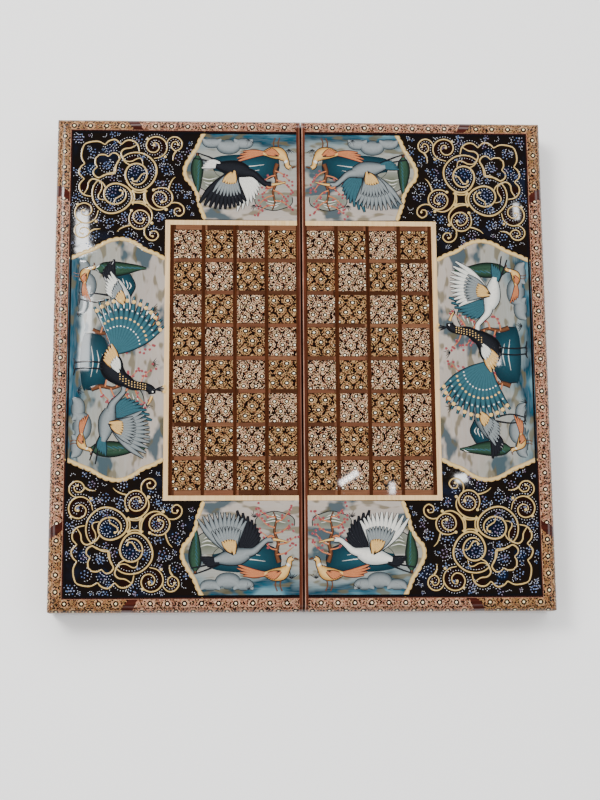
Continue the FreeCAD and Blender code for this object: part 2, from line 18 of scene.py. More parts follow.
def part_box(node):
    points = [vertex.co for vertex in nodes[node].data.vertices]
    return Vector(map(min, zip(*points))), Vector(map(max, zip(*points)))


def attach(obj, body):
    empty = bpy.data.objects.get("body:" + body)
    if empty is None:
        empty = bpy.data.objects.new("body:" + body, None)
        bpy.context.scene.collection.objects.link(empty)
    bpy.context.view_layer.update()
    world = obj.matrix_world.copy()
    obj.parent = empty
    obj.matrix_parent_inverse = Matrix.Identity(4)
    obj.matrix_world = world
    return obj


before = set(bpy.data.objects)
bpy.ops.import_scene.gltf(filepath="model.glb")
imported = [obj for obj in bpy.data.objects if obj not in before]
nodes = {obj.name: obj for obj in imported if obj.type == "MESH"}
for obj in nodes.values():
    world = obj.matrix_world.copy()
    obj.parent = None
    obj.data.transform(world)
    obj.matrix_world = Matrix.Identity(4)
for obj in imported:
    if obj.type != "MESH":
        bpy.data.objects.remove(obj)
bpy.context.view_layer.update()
MM = 1000.0
# the left and the right half, and the front and the back end
SIDES = ENDS = (-1, 1)


def add_object(name, data):
    """A new object in the scene."""
    made = bpy.data.objects.new(name, data)
    bpy.context.scene.collection.objects.link(made)
    return made


def span(node):
    """A CAD node's lowest and highest corner, in millimetres."""
    low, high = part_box(node)
    return np.array(low) * MM, np.array(high) * MM


# %% [markdown]
# ## Reading the sizes from the frame
#
# The length and width of a half, the edge of the painted field and the place of the chess
# squares come from the boxes of the CAD nodes. A box doesn't tell how far an edge is
# rounded, or how the squares are spaced inside it, so these few sizes are written down.

# %% Places that the ornament is drawn to
outer_x, end_y = span("right_side_sheets")[1][:2]
(strip_x, _, _), (paint_x, paint_y, top_z) = span("right_painted_panel")
cream_x, cream_y = span("right_cream_line")[1][:2]
edge_z = span("right_edge_middles")[0][2]
GRID_LEFT = span("right_light_squares")[0][0]
PITCH_X = 31.85
PITCH_Y = 33.8
SQUARE_WIDE, SQUARE_HIGH = 28.4, 30.2
EDGE_RADIUS = 9.0
crown_x, crown_y, crown_z = (edge - EDGE_RADIUS for edge in (outer_x, end_y, top_z))
print(f"half {outer_x:.1f} by {2 * end_y:.1f} mm, top at {top_z:.1f} mm")

# %% [markdown]
# ## Writing shader maths as Python
#
# A khatam pattern is arithmetic on the place of a point: which tiny rod is it in, and how
# far is that rod from the next star. Wired by hand that is dozens of Math nodes. A small
# class that wraps a socket lets the same sums be written as Python expressions, and each
# operator adds the node that it stands for.

# %% Sockets as numbers
def operator(operation):
    """A method that adds the Math node of one operation."""

    def method(self, *others):
        return self.math(operation, *others)

    return method


def plug(socket, operand):
    """Links a value to a socket, or sets the socket's own number."""
    if isinstance(operand, Value):
        operand.tree.links.new(operand.socket, socket)
    else:
        socket.default_value = operand


class Value:
    """A shader socket that can be used in an expression."""

    def __init__(self, tree, socket):
        self.tree = tree
        self.socket = socket

    def math(self, operation, *others):
        node = self.tree.nodes.new("ShaderNodeMath")
        node.operation = operation
        for place, operand in enumerate((self, *others)):
            plug(node.inputs[place], operand)
        return Value(self.tree, node.outputs[0])

    __add__ = __radd__ = operator("ADD")
    __mul__ = __rmul__ = operator("MULTIPLY")
    __sub__ = operator("SUBTRACT")
    __truediv__ = operator("DIVIDE")
    __gt__ = operator("GREATER_THAN")
    __lt__ = operator("LESS_THAN")
    __abs__ = operator("ABSOLUTE")
    floor = operator("FLOOR")
    near = operator("ROUND")
    past = operator("FRACT")
    root = operator("SQRT")
    larger = operator("MAXIMUM")
    smaller = operator("MINIMUM")

    def __rsub__(self, other):
        return (self * -1.0) + other

    def within(self, low, high):
        """A mask: 1 where the value lies between two numbers, and 0 elsewhere."""
        return (self > low) * (self < high)

    def choose(self, when_one, when_zero):
        """This mask's pick of two values: 1 gives the first and 0 the second."""
        return self * when_one + (1.0 - self) * when_zero


# %% [markdown]
# ## A finish
#
# Each finish is one Principled shader. The method `node` makes any other node: it takes
# the node's type, its settings, and the values or links of its sockets. Numbers that are
# the same all over a surface are set on the shader's own sockets. Only what changes from
# place to place is linked. Colours are written as on a paint chart, in six digits.

# %% Nodes and finishes
def srgb(text):
    """A colour that is written as on a paint chart, as the linear light it stands for."""
    parts = [int(text[i : i + 2], 16) / 255 for i in (0, 2, 4)]
    return tuple(p / 12.92 if p < 0.04045 else ((p + 0.055) / 1.055) ** 2.4 for p in parts)


def as_light(colour):
    """The four numbers of a colour socket, from six digits or from three numbers."""
    return (*(srgb(colour) if isinstance(colour, str) else colour), 1.0)


class Nodes:
    """A node tree under construction."""

    def __init__(self, tree):
        self.tree = tree

    def node(self, kind, settings=None, inputs=None, output=0):
        made = self.tree.nodes.new(f"ShaderNode{kind}")
        for key, setting in (settings or {}).items():
            if key == "stops":
                self.set_ramp(made.color_ramp, *setting)
            else:
                setattr(made, key, setting)
        for key, operand in (inputs or {}).items():
            plug(made.inputs[key], operand)
        return Value(self.tree, made.outputs[output])

    def set_ramp(self, ramp, interpolation, *stops):
        ramp.interpolation = interpolation
        for place, (position, colour) in enumerate(stops):
            if place > 1:
                ramp.elements.new(position)
            ramp.elements[place].position = position
            ramp.elements[place].color = as_light(colour)

    def ramp(self, value, *stops):
        return self.node("ValToRGB", {"stops": stops}, {0: value})

    def vector(self, x, y, z=0.0):
        return self.node("CombineXYZ", inputs={0: x, 1: y, 2: z})

    def parts(self, vector):
        """The x, y and z of a vector."""
        outs = self.node("SeparateXYZ", inputs={0: vector}).socket.node.outputs
        return [Value(self.tree, outs[axis]) for axis in range(3)]

    def place(self):
        """Object coordinates in millimetres, as x, y and z."""
        where = self.node("TexCoord", output=3)
        return self.parts(self.node("VectorMath", {"operation": "SCALE"}, {0: where, "Scale": MM}))

    def noise(self, scale, detail=2.0, vector=None):
        vector = vector or self.vector(*self.place())
        return self.node("TexNoise", inputs={"Scale": scale, "Detail": detail, "Vector": vector})

    def lot(self, x, y, z, output=0):
        """A number that is drawn by lot for each place, or a colour with output 1."""
        given = {"Vector": self.vector(x, y, z)}
        return self.node("TexWhiteNoise", {"noise_dimensions": "3D"}, given, output)

    def mix(self, factor, first, second, blend="MIX"):
        """Colour mix: factor 0 gives the first colour and 1 the second."""
        made = self.tree.nodes.new("ShaderNodeMix")
        made.data_type = "RGBA"
        made.blend_type = blend
        plug(made.inputs[0], factor)
        for key, colour in ((6, first), (7, second)):
            plug(made.inputs[key], colour if isinstance(colour, Value) else as_light(colour))
        return Value(self.tree, made.outputs[2])


class Finish(Nodes):
    """A material with its Principled shader."""

    def __init__(self, name, **constants):
        self.material = bpy.data.materials.new(name)
        self.material.use_nodes = True
        super().__init__(self.material.node_tree)
        self.shader = self.tree.nodes["Principled BSDF"]
        self.set(**constants)

    def set(self, **constants):
        """Numbers that hold all over the surface, on the shader's own sockets."""
        for socket, number in constants.items():
            self.shader.inputs[socket.replace("_", " ")].default_value = number
        return self

    def feed(self, socket, value):
        plug(self.shader.inputs[socket], value)

    def fed(self, socket):
        """What is linked to a socket of the shader so far."""
        return Value(self.tree, self.shader.inputs[socket].links[0].from_socket)

    def coat(self, mask, colour, blend="MIX"):
        """Lays a colour over the Base Color so far: not at all at 0, and fully at 1."""
        self.feed("Base Color", self.mix(mask, self.fed("Base Color"), colour, blend))

    def bump(self, height, distance, strength=1.0):
        given = {"Strength": strength, "Distance": distance, "Height": height}
        self.feed("Normal", self.node("Bump", inputs=given))


def dress(finish, *names, halves=("left_", "right_")):
    """Gives CAD nodes a finish, in both halves."""
    for name in names:
        for half in halves:
            slots = nodes[half + name].data.materials
            slots.clear()
            slots.append(finish.material)


# %% [markdown]
# ## Camera
#
# The photograph was taken from nearly overhead, from slightly left of the middle and from
# the front. A camera was fitted to the outline and to the chess grid, and the place and
# turn below are its result. The lens is long for a phone, which keeps the box square.

# %% The photograph's camera
CAMERA_PLACE = Vector((-71.4, -319.6, 1517.1)) / MM
CAMERA_TURN = Vector((0.186, -0.046, -0.003))
LENS = 67.5
SENSOR = 36.0

camera = add_object("camera", bpy.data.cameras.new("camera"))
camera.data.lens = LENS
camera.data.sensor_fit = "VERTICAL"
camera.data.sensor_height = SENSOR
camera.location = CAMERA_PLACE
camera.rotation_mode = "QUATERNION"
camera.rotation_quaternion = Quaternion(CAMERA_TURN.normalized(), CAMERA_TURN.length)
bpy.context.scene.camera = camera
print(f"camera {CAMERA_PLACE.length:.2f} m away, lens {LENS} mm")

# %% [markdown]
# ## Floor and sky
#
# Lacquer is a mirror, and from nearly overhead it mirrors the sky's top. So the sky is
# dark there and bright a little lower down, as in a room with a dark ceiling and pale
# walls, and brighter at the far side than behind the camera. That keeps the painted ground
# deep, and the box is still lit from all round. The floor glows faintly, to be as pale as
# a sheet of paper under it would be.

# %% Sky and floor
# height of the sky, from the horizon at 0 to overhead at 1, and its light there
SKY = ((0.0, 0.16), (0.50, 0.13), (0.62, 1.0), (0.80, 1.0), (0.90, 0.02))
FRONT_SHARE, BACK_SHARE = 0.04, 1.15
SKY_STRENGTH = 3.6
FLOOR_HALF = 30.0

world = bpy.data.worlds.new("studio")
world.use_nodes = True
sky = Nodes(world.node_tree)
_, back, height = sky.parts(sky.node("TexCoord"))
light = sky.ramp(height, "LINEAR", *((place, (share,) * 3) for place, share in SKY))
from_back = {"From Min": -1.0, "From Max": 0.6, "To Min": FRONT_SHARE, "To Max": BACK_SHARE}
from_back = sky.node("MapRange", inputs={"Value": back, **from_back})
light = sky.node("VectorMath", {"operation": "SCALE"}, {0: light, "Scale": from_back})
sky.tree.links.new(light.socket, sky.tree.nodes["Background"].inputs["Color"])
sky.tree.nodes["Background"].inputs["Strength"].default_value = SKY_STRENGTH
bpy.context.scene.world = world

floor_mesh = bpy.data.meshes.new("floor")
corners = [(x * FLOOR_HALF, y * FLOOR_HALF, 0.0) for x, y in ((-1, -1), (1, -1), (1, 1), (-1, 1))]
floor_mesh.from_pydata(corners, [], [(0, 1, 2, 3)])
floor = add_object("floor", floor_mesh)
floor_paint = Finish("floor_paint", Roughness=0.9, Base_Color=(0.97, 0.97, 0.97, 1.0))
floor_paint.set(Specular_IOR_Level=0.0, Emission_Color=(1.0, 1.0, 1.0, 1.0), Emission_Strength=0.3)
floor_mesh.materials.append(floor_paint.material)

# %% [markdown]
# ## Lamps
#
# One soft lamp at the back left makes the shadow. The small ones are only there for the
# lacquer: each hangs where the mirror image of the camera sees it at a chosen spot on the
# board, so a highlight lands on that spot.

# %% Lamps
def lamp(name, place, size, power, colour=(1.0, 1.0, 1.0)):
    """A soft lamp that points at the middle of the board."""
    light = bpy.data.lights.new(name, "AREA")
    light.shape = "RECTANGLE"
    light.size, light.size_y = size
    light.energy = power
    light.color = colour
    holder = add_object(name, light)
    holder.location = place
    holder.rotation_mode = "QUATERNION"
    holder.rotation_quaternion = (-Vector(place)).to_track_quat("-Z", "Y")
    return holder


lamp("key", (-1.45, 1.05, 2.7), (1.0, 1.0), 80.0, (1.0, 0.97, 0.93))

GLINT_HEIGHT = 2.6
GLINT_LIGHT = 130.0
# spot on the board in millimetres, size in metres, turn in degrees, and strength
GLINTS = {
    "glint_left_upper": ((-222, 134), (0.034, 0.095), 4, 1.0),
    "glint_left_foot": ((-219, 112), (0.044, 0.030), 30, 1.0),
    "glint_left_lower": ((-217, 30), (0.030, 0.24), -3, 0.45),
    "glint_right_upper": ((223, 157), (0.014, 0.045), 0, 0.9),
    "glint_right_middle": ((200, -3), (0.012, 0.026), 0, 0.7),
    "glint_front_left": ((46, -121), (0.060, 0.016), 31, 1.0),
    "glint_front_middle": ((88, -132), (0.014, 0.030), 0, 0.8),
    "glint_front_right": ((158, -123), (0.034, 0.022), 10, 1.0),
}
above_board = CAMERA_PLACE.z - top_z / MM
stretch = (above_board + GLINT_HEIGHT - top_z / MM) / above_board
for name, (spot, size, turn, strength) in GLINTS.items():
    place = CAMERA_PLACE.xy + (Vector(spot) / MM - CAMERA_PLACE.xy) * stretch
    glint = lamp(name, (*place, GLINT_HEIGHT), size, size[0] * size[1] * GLINT_LIGHT * strength)
    glint.rotation_quaternion = Quaternion((0.0, 0.0, 1.0), math.radians(turn))
print(f"{len(GLINTS)} glints, {GLINT_HEIGHT} m up")

# %% [markdown]
# ## Lacquer
#
# A thick clear lacquer covers paint, wood and khatam alike. It isn't quite flat: long and
# short waves in it bend what it mirrors, and that is what tells it from glass.

# %% Lacquer
SLOW_WAVE, QUICK_WAVE = 0.018, 0.055
WAVE_HIGH = 0.00011


def lacquer(finish):
    """Clear gloss, with a slow wave and a weaker quick one."""
    finish.set(Roughness=0.025, IOR=1.5)
    slow = finish.noise(SLOW_WAVE, 0.0)
    quick = finish.noise(QUICK_WAVE, 0.0)
    finish.bump(slow * 1.2 + quick * 0.10, WAVE_HIGH, 0.5)
    return finish


# %% [markdown]
# ## Khatam
#
# Khatam is made of thin triangular rods of wood, bone and brass, glued into six-pointed
# stars and sliced like a loaf. So the shader first finds the little triangle that a point
# lies in, and then colours the whole triangle by how far its middle is from the nearest
# star. Every rod gets one clean colour, as in the real thing, at any distance.

# %% The khatam pattern
ROD_COLUMNS = 11
EVEN_ROWS = 11
SIN_60 = 0.866
# how far a star's bone, its own rods and the rings round it reach, and where the slanting
# lines between the stars begin, counted in rods
BONE_END, FIRST_RING, STAR_END = 1.7, 1.9, 3.2
PETALS, PEARLS, PALE_RING = (3.0, 4.0), (2.9, 3.9), (4.0, 4.9)
LINE_AWAY = ROD_COLUMNS * 0.433 - 0.55
LAST_REACH = 8.0
# how the chance of a dark rod changes: where rods point up or down, on a star, and on the
# pale ring, the petals and the pearls round it
UP, DOWN, ON_STAR = 0.7, 1.3, 0.35
LESS_ON_RING, MORE_ON_PETALS, MORE_ON_PEARLS = 0.4, 0.25, 0.35
EBONY_RIM = 2.15
SMOKE = (0.05, 0.025, 0.015)
DYES = ((0.0, "b8c09a"), (0.16, "ffffff"), (0.60, "ecc0b4"), (0.76, "d0b4b8"))


def nearest_star(u, v, across, rows):
    """Offsets to the nearest star, and their squares' sum. Stars stand on two grids, and
    the second one is shifted by half a step both ways."""
    offers = []
    for shift in (0.0, 0.5):
        du = u - across * shift
        dv = v - rows * (2 * shift)
        du = du - (du / across).near() * across
        dv = dv - (dv / (2 * rows)).near() * (2 * rows)
        offers.append((du, dv, du * du + dv * dv))
    first, second = offers
    nearer = first[2] < second[2]
    return [nearer.choose(first[axis], second[axis]) for axis in range(3)]


def khatam(finish, u, v, rod, row_count, palette):
    """Colours by the rods round each star. u and v run over the surface in millimetres,
    rod is a rod's side, and row_count the rods between two rows of stars. Dark rods are
    drawn by lot. The chance is high at a star's petals, on a ring of pearls round it and
    on the slanting lines between the stars, and low on the star itself."""
    bone, ebony, star, ground_up, ground_down, specks, mesh, heart = palette
    rod_high = rod * math.sqrt(3) / 2
    grid = (rod * ROD_COLUMNS, rod_high * row_count)
    b = v / rod_high
    a = u / rod - b * 0.5
    column, row = a.floor(), b.floor()
    near_u, near_v = nearest_star(u, v, *grid)[:2]
    slanting = [abs(near_u * 0.5 + near_v * side) for side in (SIN_60, -SIN_60)]
    hexagon = slanting[0].larger(slanting[1]).larger(abs(near_u))
    rising = (a - column) + (b - row) < 1.0
    third = rising.choose(1 / 3, 2 / 3)
    u_rod = (column + third) * rod + (row + third) * (rod * 0.5)
    v_rod = (row + third) * rod_high
    du, dv, square = nearest_star(u_rod, v_rod, *grid)
    reach = square.root() / rod
    angle = dv.math("ARCTAN2", du)
    petal = (angle * 6.0).math("COSINE")
    pearl = (angle * 12.0).math("COSINE")
    leaning = [abs(du * SIN_60 + dv * side) / rod for side in (0.5, -0.5)]
    between = leaning[0].larger(leaning[1]) > LINE_AWAY
    chance = rising.choose(specks * UP, specks * DOWN)
    chance = (reach < STAR_END).choose(specks * ON_STAR, chance)
    chance = chance * (1.0 - reach.within(*PALE_RING) * LESS_ON_RING)
    chance = chance + (petal > 0.2) * reach.within(*PETALS) * MORE_ON_PETALS + between * mesh
    chance = chance + (pearl > 0.0) * reach.within(*PEARLS) * MORE_ON_PEARLS
    dark_rod = (finish.lot(column, row, third) < chance) * (reach > BONE_END)
    ground = finish.mix(rising, ground_down, ground_up)
    stops = (0.0, ebony), (FIRST_RING, star), (STAR_END, ground_up)
    stops = [(place / LAST_REACH, colour) for place, colour in stops]
    finish.feed("Base Color", ground)
    finish.coat(reach < STAR_END, finish.ramp(reach / LAST_REACH, "CONSTANT", *stops))
    finish.coat(dark_rod, ebony)
    wear = finish.lot(row, column, third)
    finish.coat(wear * 0.30, SMOKE)
    finish.coat(0.7, finish.ramp(wear, "CONSTANT", *DYES), "MULTIPLY")
    finish.coat(hexagon < heart * EBONY_RIM, ebony)
    finish.coat(hexagon < heart, bone)
    finish.coat(finish.noise(0.03, 3.0) * 0.30, "8a6a4a", "MULTIPLY")


def palette(specks, mesh, heart, *colours):
    """What makes one sheet: the share of dark specks, how much denser they stand on the
    slanting lines midway between the stars, half the width of the bone hexagon in a
    star's middle in millimetres, and the colours of the rods: bone, ebony, star, and
    those of the ground that point up and that point down."""
    return [*colours, specks, mesh, heart]


ROSE = palette(0.63, 0.34, 1.05, "fffae0", "0e0403", "fedab0", "ffe0bc", "c68e68")
GOLD = palette(0.50, 0.52, 1.05, "fffae0", "0e0402", "d4ae7e", "d6ac7a", "aa8058")
EDGE_ROSE = palette(0.40, 0.25, 1.15, "ffeecc", "150805", "d6aa8c", "d6a488", "9a6c52")
EDGE_GOLD = palette(0.44, 0.25, 1.15, "ffeebc", "120703", "caa076", "ba8e60", "886242")

# %% [markdown]
# ## Khatam on the squares, the border and the sides
#
# The three kinds differ only in how u and v are measured. On a square they start at a
# random place, as each one is cut from the loaf anywhere. On the border they follow the
# rounding, and on a side they run along it and down.

# %% Sheets of khatam
SQUARE_ROD = 12.2 / ROD_COLUMNS
EDGE_ROD = 16.6 / ROD_COLUMNS
EDGE_ROWS = 7
EDGE_FIRST_ROW = 0.4
ROW_STRETCH = 1.06
CUT_REACH = 26.0
GLUE_LINE = 0.5


def square_khatam(name, palette, squeeze):
    """Squares are cut from the loaf at random, so each has an offset of its own, and a
    sheet that was cut a little slantwise has its stars further apart along x."""
    finish = Finish(name)
    x, y, _ = finish.place()
    side = x > 0.0
    mirrored = side.choose(1.0, -1.0)
    column = (x * mirrored / PITCH_X).floor()
    row = (y / PITCH_Y).floor()
    cut_x, cut_y, _ = finish.parts(finish.lot(column + side * 9.0, row, 2.0, output=1))
    u = (x + cut_x * CUT_REACH) * squeeze
    v = (y + cut_y * CUT_REACH) * ROW_STRETCH
    khatam(finish, u, v, SQUARE_ROD, EVEN_ROWS, palette)
    in_x = ((x * mirrored - GRID_LEFT) / PITCH_X).past() * PITCH_X - SQUARE_WIDE / 2
    in_y = (y / PITCH_Y).past() * PITCH_Y - PITCH_Y / 2
    from_edge = (SQUARE_WIDE / 2 - abs(in_x)).smaller(SQUARE_HIGH / 2 - abs(in_y))
    finish.coat((from_edge < GLUE_LINE) * 0.85, "3c2012")
    return lacquer(finish)


def edge_khatam(name, palette):
    """The border follows the rounded edge, so it is measured along the curve: flat part,
    then the arc's length, then straight down the side. Its gloss is softer, as hands wear
    the edge."""
    finish = Finish(name)
    x, y, z = finish.place()
    x_out, y_out = abs(x), abs(y)
    at_end = (end_y - y_out) < (outer_x - x_out)
    along = at_end.choose(x, y)
    out = at_end.choose(y_out - crown_y, x_out - crown_x)
    up = z - crown_z
    flat = out < 0.0
    below = up < 0.0
    arc = out.math("ARCTAN2", up) * EDGE_RADIUS
    rounded = below.choose(EDGE_RADIUS * math.pi / 2 - up, arc)
    across = flat.choose(out, rounded) - EDGE_FIRST_ROW
    khatam(finish, along, across, EDGE_ROD, EDGE_ROWS, palette)
    return lacquer(finish).set(Roughness=0.22, IOR=1.28)


def side_khatam(name, palette):
    """The upright sides, seen face on."""
    finish = Finish(name)
    x, y, z = finish.place()
    at_end = (end_y - abs(y)) < (outer_x - abs(x))
    along = at_end.choose(x, y)
    khatam(finish, along, z - edge_z, SQUARE_ROD, EVEN_ROWS, palette)
    return lacquer(finish)


dress(square_khatam("khatam_light", ROSE, 1.0), "light_squares")
dress(square_khatam("khatam_dark", GOLD, 0.87), "dark_squares")
dress(edge_khatam("khatam_edge_rose", EDGE_ROSE), "edge_middles")
dress(edge_khatam("khatam_edge_gold", EDGE_GOLD), "edge_corners")
dress(side_khatam("khatam_side", EDGE_GOLD), "side_sheets")
print(f"stars {SQUARE_ROD * ROD_COLUMNS:.1f} mm apart, {EDGE_ROD * ROD_COLUMNS:.1f} on the border")

# %% [markdown]
# ## Plain wood
#
# Wood is long fibres with darker pores. Noise that is stretched along the grain gives the
# fibres, and a second, finer one gives the pores. The same function makes the brown
# strips, the pale line, the dark leaves and the carcass, from two colours and a direction.

# %% Wood
STRETCH = {"x": (0.05, 1.0, 1.0), "y": (1.0, 0.05, 1.0)}
PORE = (0.03, 0.012, 0.008)
# half the dark joint at the seam, the band beside it with a painted highlight, and the width of
# the fillet
JOINT, SHEEN_BAND, FILLET_WIDE = 1.0, (1.1, 2.0), 1.3


def wood(name, pale, dark, along, gloss=True, pores=0.35):
    """Fibres along x or y, between a pale and a dark colour, with pores."""
    finish = Finish(name, Roughness=0.45)
    grain = finish.vector(*(axis * share for axis, share in zip(finish.place(), STRETCH[along])))
    fibre = finish.noise(0.55, 4.0, grain)
    pore = finish.noise(2.6, 2.0, grain)
    broad = finish.noise(0.02, 2.0)
    tone = fibre * 0.75 + broad * 0.25
    finish.feed("Base Color", finish.ramp(tone, "LINEAR", (0.32, dark), (0.68, pale)))
    hole = ((0.46 - pore) * 6.0).larger(0.0).smaller(1.0)
    finish.coat(hole * pores, PORE)
    if gloss:
        return lacquer(finish)
    finish.bump(fibre * 0.6 - hole * 0.4, 0.0001, 0.6)
    return finish


def strip_wood():
    """The strips between the squares. Those along y run through and are darker. Each
    short one between two of them is a piece of its own, so it has its own brown."""
    finish = wood("brown_strip", "4e2814", "281208", "y")
    x, y, z = finish.place()
    # 200 pitches more, as the remainder needs a number above 0
    from_first = (abs(x) - GRID_LEFT + 200 * PITCH_X).math("MODULO", PITCH_X)
    short = from_first < SQUARE_WIDE
    pick = finish.lot((x / PITCH_X).floor(), (y / PITCH_Y + 0.5).floor(), 4.0)
    stops = (0.0, "3c2214"), (0.4, "64402e"), (0.7, "744a36"), (1.0, "7c563e")
    browns = finish.ramp(pick, "LINEAR", *stops)
    grain = finish.noise(0.6, 4.0, finish.vector(x * 0.08, y, z))
    browns = finish.mix((grain - 0.3) * 0.9, browns, "2c1408")
    finish.coat(short, browns)
    return finish


def seam_wood():
    """The two strips at the seam: dark in the joint, with a painted highlight just beside it,
    where the rounded edge catches the light.
    """
    finish = wood("seam_wood", "5e3020", "34170e", "y")
    x, _, _ = finish.place()
    out = abs(x)
    # painted highlight: a pale band beside the joint, where the rounded edge would catch the
    # light, stronger on the right half
    painted_sheen = out.within(*SHEEN_BAND) * (x > 0.0).choose(0.55, 0.15) * finish.noise(0.04, 3.0) * 1.6
    finish.coat(painted_sheen, "d8a890")
    finish.coat(out < JOINT, "150806")
    return finish


def fillet_wood():
    """The dark line inside the border, with the border sheet's pale cut edge beside it."""
    finish = wood("fillet_wood", "3a1a12", "1f0d09", "y")
    x, y, _ = finish.place()
    inside = (abs(x) - paint_x).larger(abs(y) - paint_y)
    finish.coat(inside > FILLET_WIDE, "a87a66")
    return finish


dress(strip_wood(), "square_lattice")
dress(seam_wood(), "seam_strip")
dress(fillet_wood(), "field_fillet")
dress(wood("cream_strip", "ecca9a", "d8b27c", "y", pores=0.12), "cream_line")
dress(wood("dark_strip", "4a2318", "1f0d09", "y"), "side_lines")
dress(wood("leaf_wood", "4c2018", "2a110d", "x"), "leaf_dividers")
carcass = wood("carcass_wood", "b58a5c", "8a6340", "y", gloss=False)
dress(carcass, "outer_wall", "hinge_wall", "core_board")
carcass_end = wood("carcass_wood_end", "b58a5c", "8a6340", "x", gloss=False)
dress(carcass_end, "rear_wall", "front_wall")

# %% [markdown]
# ## Painted ground
#
# The panel round the chess field is painted so dark that it is nearly black. Some places
# are bluer than others, where the painter put a thin glaze on, and the lacquer over it is
# thick.

# %% Painted ground
ground_paint = Finish("ground_paint")
stops = (0.44, "140e0a"), (0.60, "100d0e"), (0.80, "121a2c")
glaze = ground_paint.ramp(ground_paint.noise(0.035, 3.0), "LINEAR", *stops)
ground_paint.feed("Base Color", glaze)
dress(lacquer(ground_paint), "painted_panel")

# %% [markdown]
# ## A painter's brush
#
# Everything drawn on the ground is a stroke: a line that a brush follows, with a width
# that swells and thins, and a little more paint in the middle than at the edges. So one
# function makes the scrolls, the leaves and the animals. A stroke is a grid of u along
# the line and v across it, and its height is a parabola in v.

# %% Lines
def circle(angle):
    """Points of a circle with a radius of one, at these angles in radians."""
    return np.stack([np.cos(angle), np.sin(angle)], axis=-1)


def curve(points, per=7):
    """Catmull-Rom spline through the points. Each span is the cubic that leaves a point
    towards its neighbours' chord, so the line is smooth and passes every point."""
    points = np.asarray(points, float)
    padded = [2 * points[:1] - points[1:2], points, 2 * points[-1:] - points[-2:-1]]
    padded = np.concatenate(padded)
    before, here, after, beyond = (padded[i : len(padded) - 3 + i, None, :] for i in range(4))
    t = np.linspace(0, 1, per, endpoint=False)[None, :, None]
    line = 0.5 * (
        2 * here
        + (after - before) * t
        + (2 * before - 5 * here + 4 * after - beyond) * t**2
        + (3 * here - before - 3 * after + beyond) * t**3
    )
    return np.concatenate([line.reshape(-1, points.shape[1]), points[-1:]])


def left_of(line):
    """The direction to the left of a line, at each of its points."""
    ahead = np.gradient(np.asarray(line, float), axis=0)
    ahead /= np.maximum(np.linalg.norm(ahead, axis=1, keepdims=True), 1e-6)
    return np.stack([-ahead[:, 1], ahead[:, 0]], axis=1)


def aside(line, distance):
    """The same line, moved to its left by a distance, or by one for each of its points."""
    return line + left_of(line) * np.broadcast_to(distance, (len(line),))[:, None]


def run_of(line):
    """How far along a line each of its points is."""
    return np.concatenate([[0.0], np.cumsum(np.linalg.norm(np.diff(line, axis=0), axis=1))])


def ticks(line, spacing):
    """Points at even steps along a line, measured by its length."""
    run = run_of(line)
    steps = np.arange(spacing / 2, run[-1], spacing)
    return np.stack([np.interp(steps, run, line[:, axis]) for axis in range(2)], axis=1)


def swell(count, thick, thin, peak=0.5):
    """Width of a stroke: thin at both ends and thick at `peak` of the way."""
    t = np.linspace(0, 1, count)
    bent = np.where(t < peak, t / peak / 2, 0.5 + (t - peak) / (1 - peak) / 2)
    return thick * (thin + (1 - thin) * np.sin(np.pi * np.clip(bent, 0, 1)) ** 0.8)


# %% Layers of paint
class Paint:
    """Collects strokes and dots of one layer, and makes them one mesh."""

    def __init__(self):
        self.points = []
        self.faces = []
        self.colours = []
        self.count = 0

    def add(self, points, faces, colours):
        self.points.append(points)
        self.faces.append(faces + self.count)
        self.colours.append(colours)
        self.count += len(points)

    def make(self, name, finish, body, slot):
        mesh = bpy.data.meshes.new(name)
        points = np.concatenate(self.points) / MM
        mesh.from_pydata(points.tolist(), [], np.concatenate(self.faces).tolist())
        layer = mesh.color_attributes.new("paint", "FLOAT_COLOR", "POINT")
        full = np.concatenate([np.concatenate(self.colours), np.ones((self.count, 1))], axis=1)
        layer.data.foreach_set("color", full.astype(np.float32).ravel())
        mesh.polygons.foreach_set("use_smooth", [True] * len(mesh.polygons))
        mesh.materials.append(finish.material)
        piece = add_object(name, mesh)
        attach(piece, body)
        print(f"{name}: {len(mesh.polygons)} faces")


def for_halves():
    """An empty layer for each half of the box."""
    return {side: Paint() for side in SIDES}


def brushwork(name):
    """Paint whose colour comes from the strokes, with the streaks that a brush leaves."""
    finish = Finish(name)
    finish.feed("Base Color", finish.node("VertexColor", {"layer_name": "paint"}))
    finish.coat(finish.noise(0.5, 3.0) * 0.35, (0.30, 0.24, 0.18), "MULTIPLY")
    return lacquer(finish)


# %% Strokes, dots and pools
# how high each kind of paint begins above the panel, and how far it rises in the middle
SHADE_LEVEL, DOT_LEVEL, GROUND_LEVEL = 0.012, 0.02, 0.03
SCROLL_LEVEL, BAND_LEVEL, BEAD_LEVEL = 0.06, 0.07, 0.08
SCROLL_RISE, BAND_RISE = 0.10, 0.08
DOT_SIDES = 8


def grid_faces(rows, columns):
    """The quads of a grid of points that are counted row by row."""
    i, j = np.meshgrid(np.arange(rows - 1), np.arange(columns - 1), indexing="ij")
    corner = (i * columns + j).ravel()
    return np.stack([corner, corner + columns, corner + columns + 1, corner + 1], axis=1)


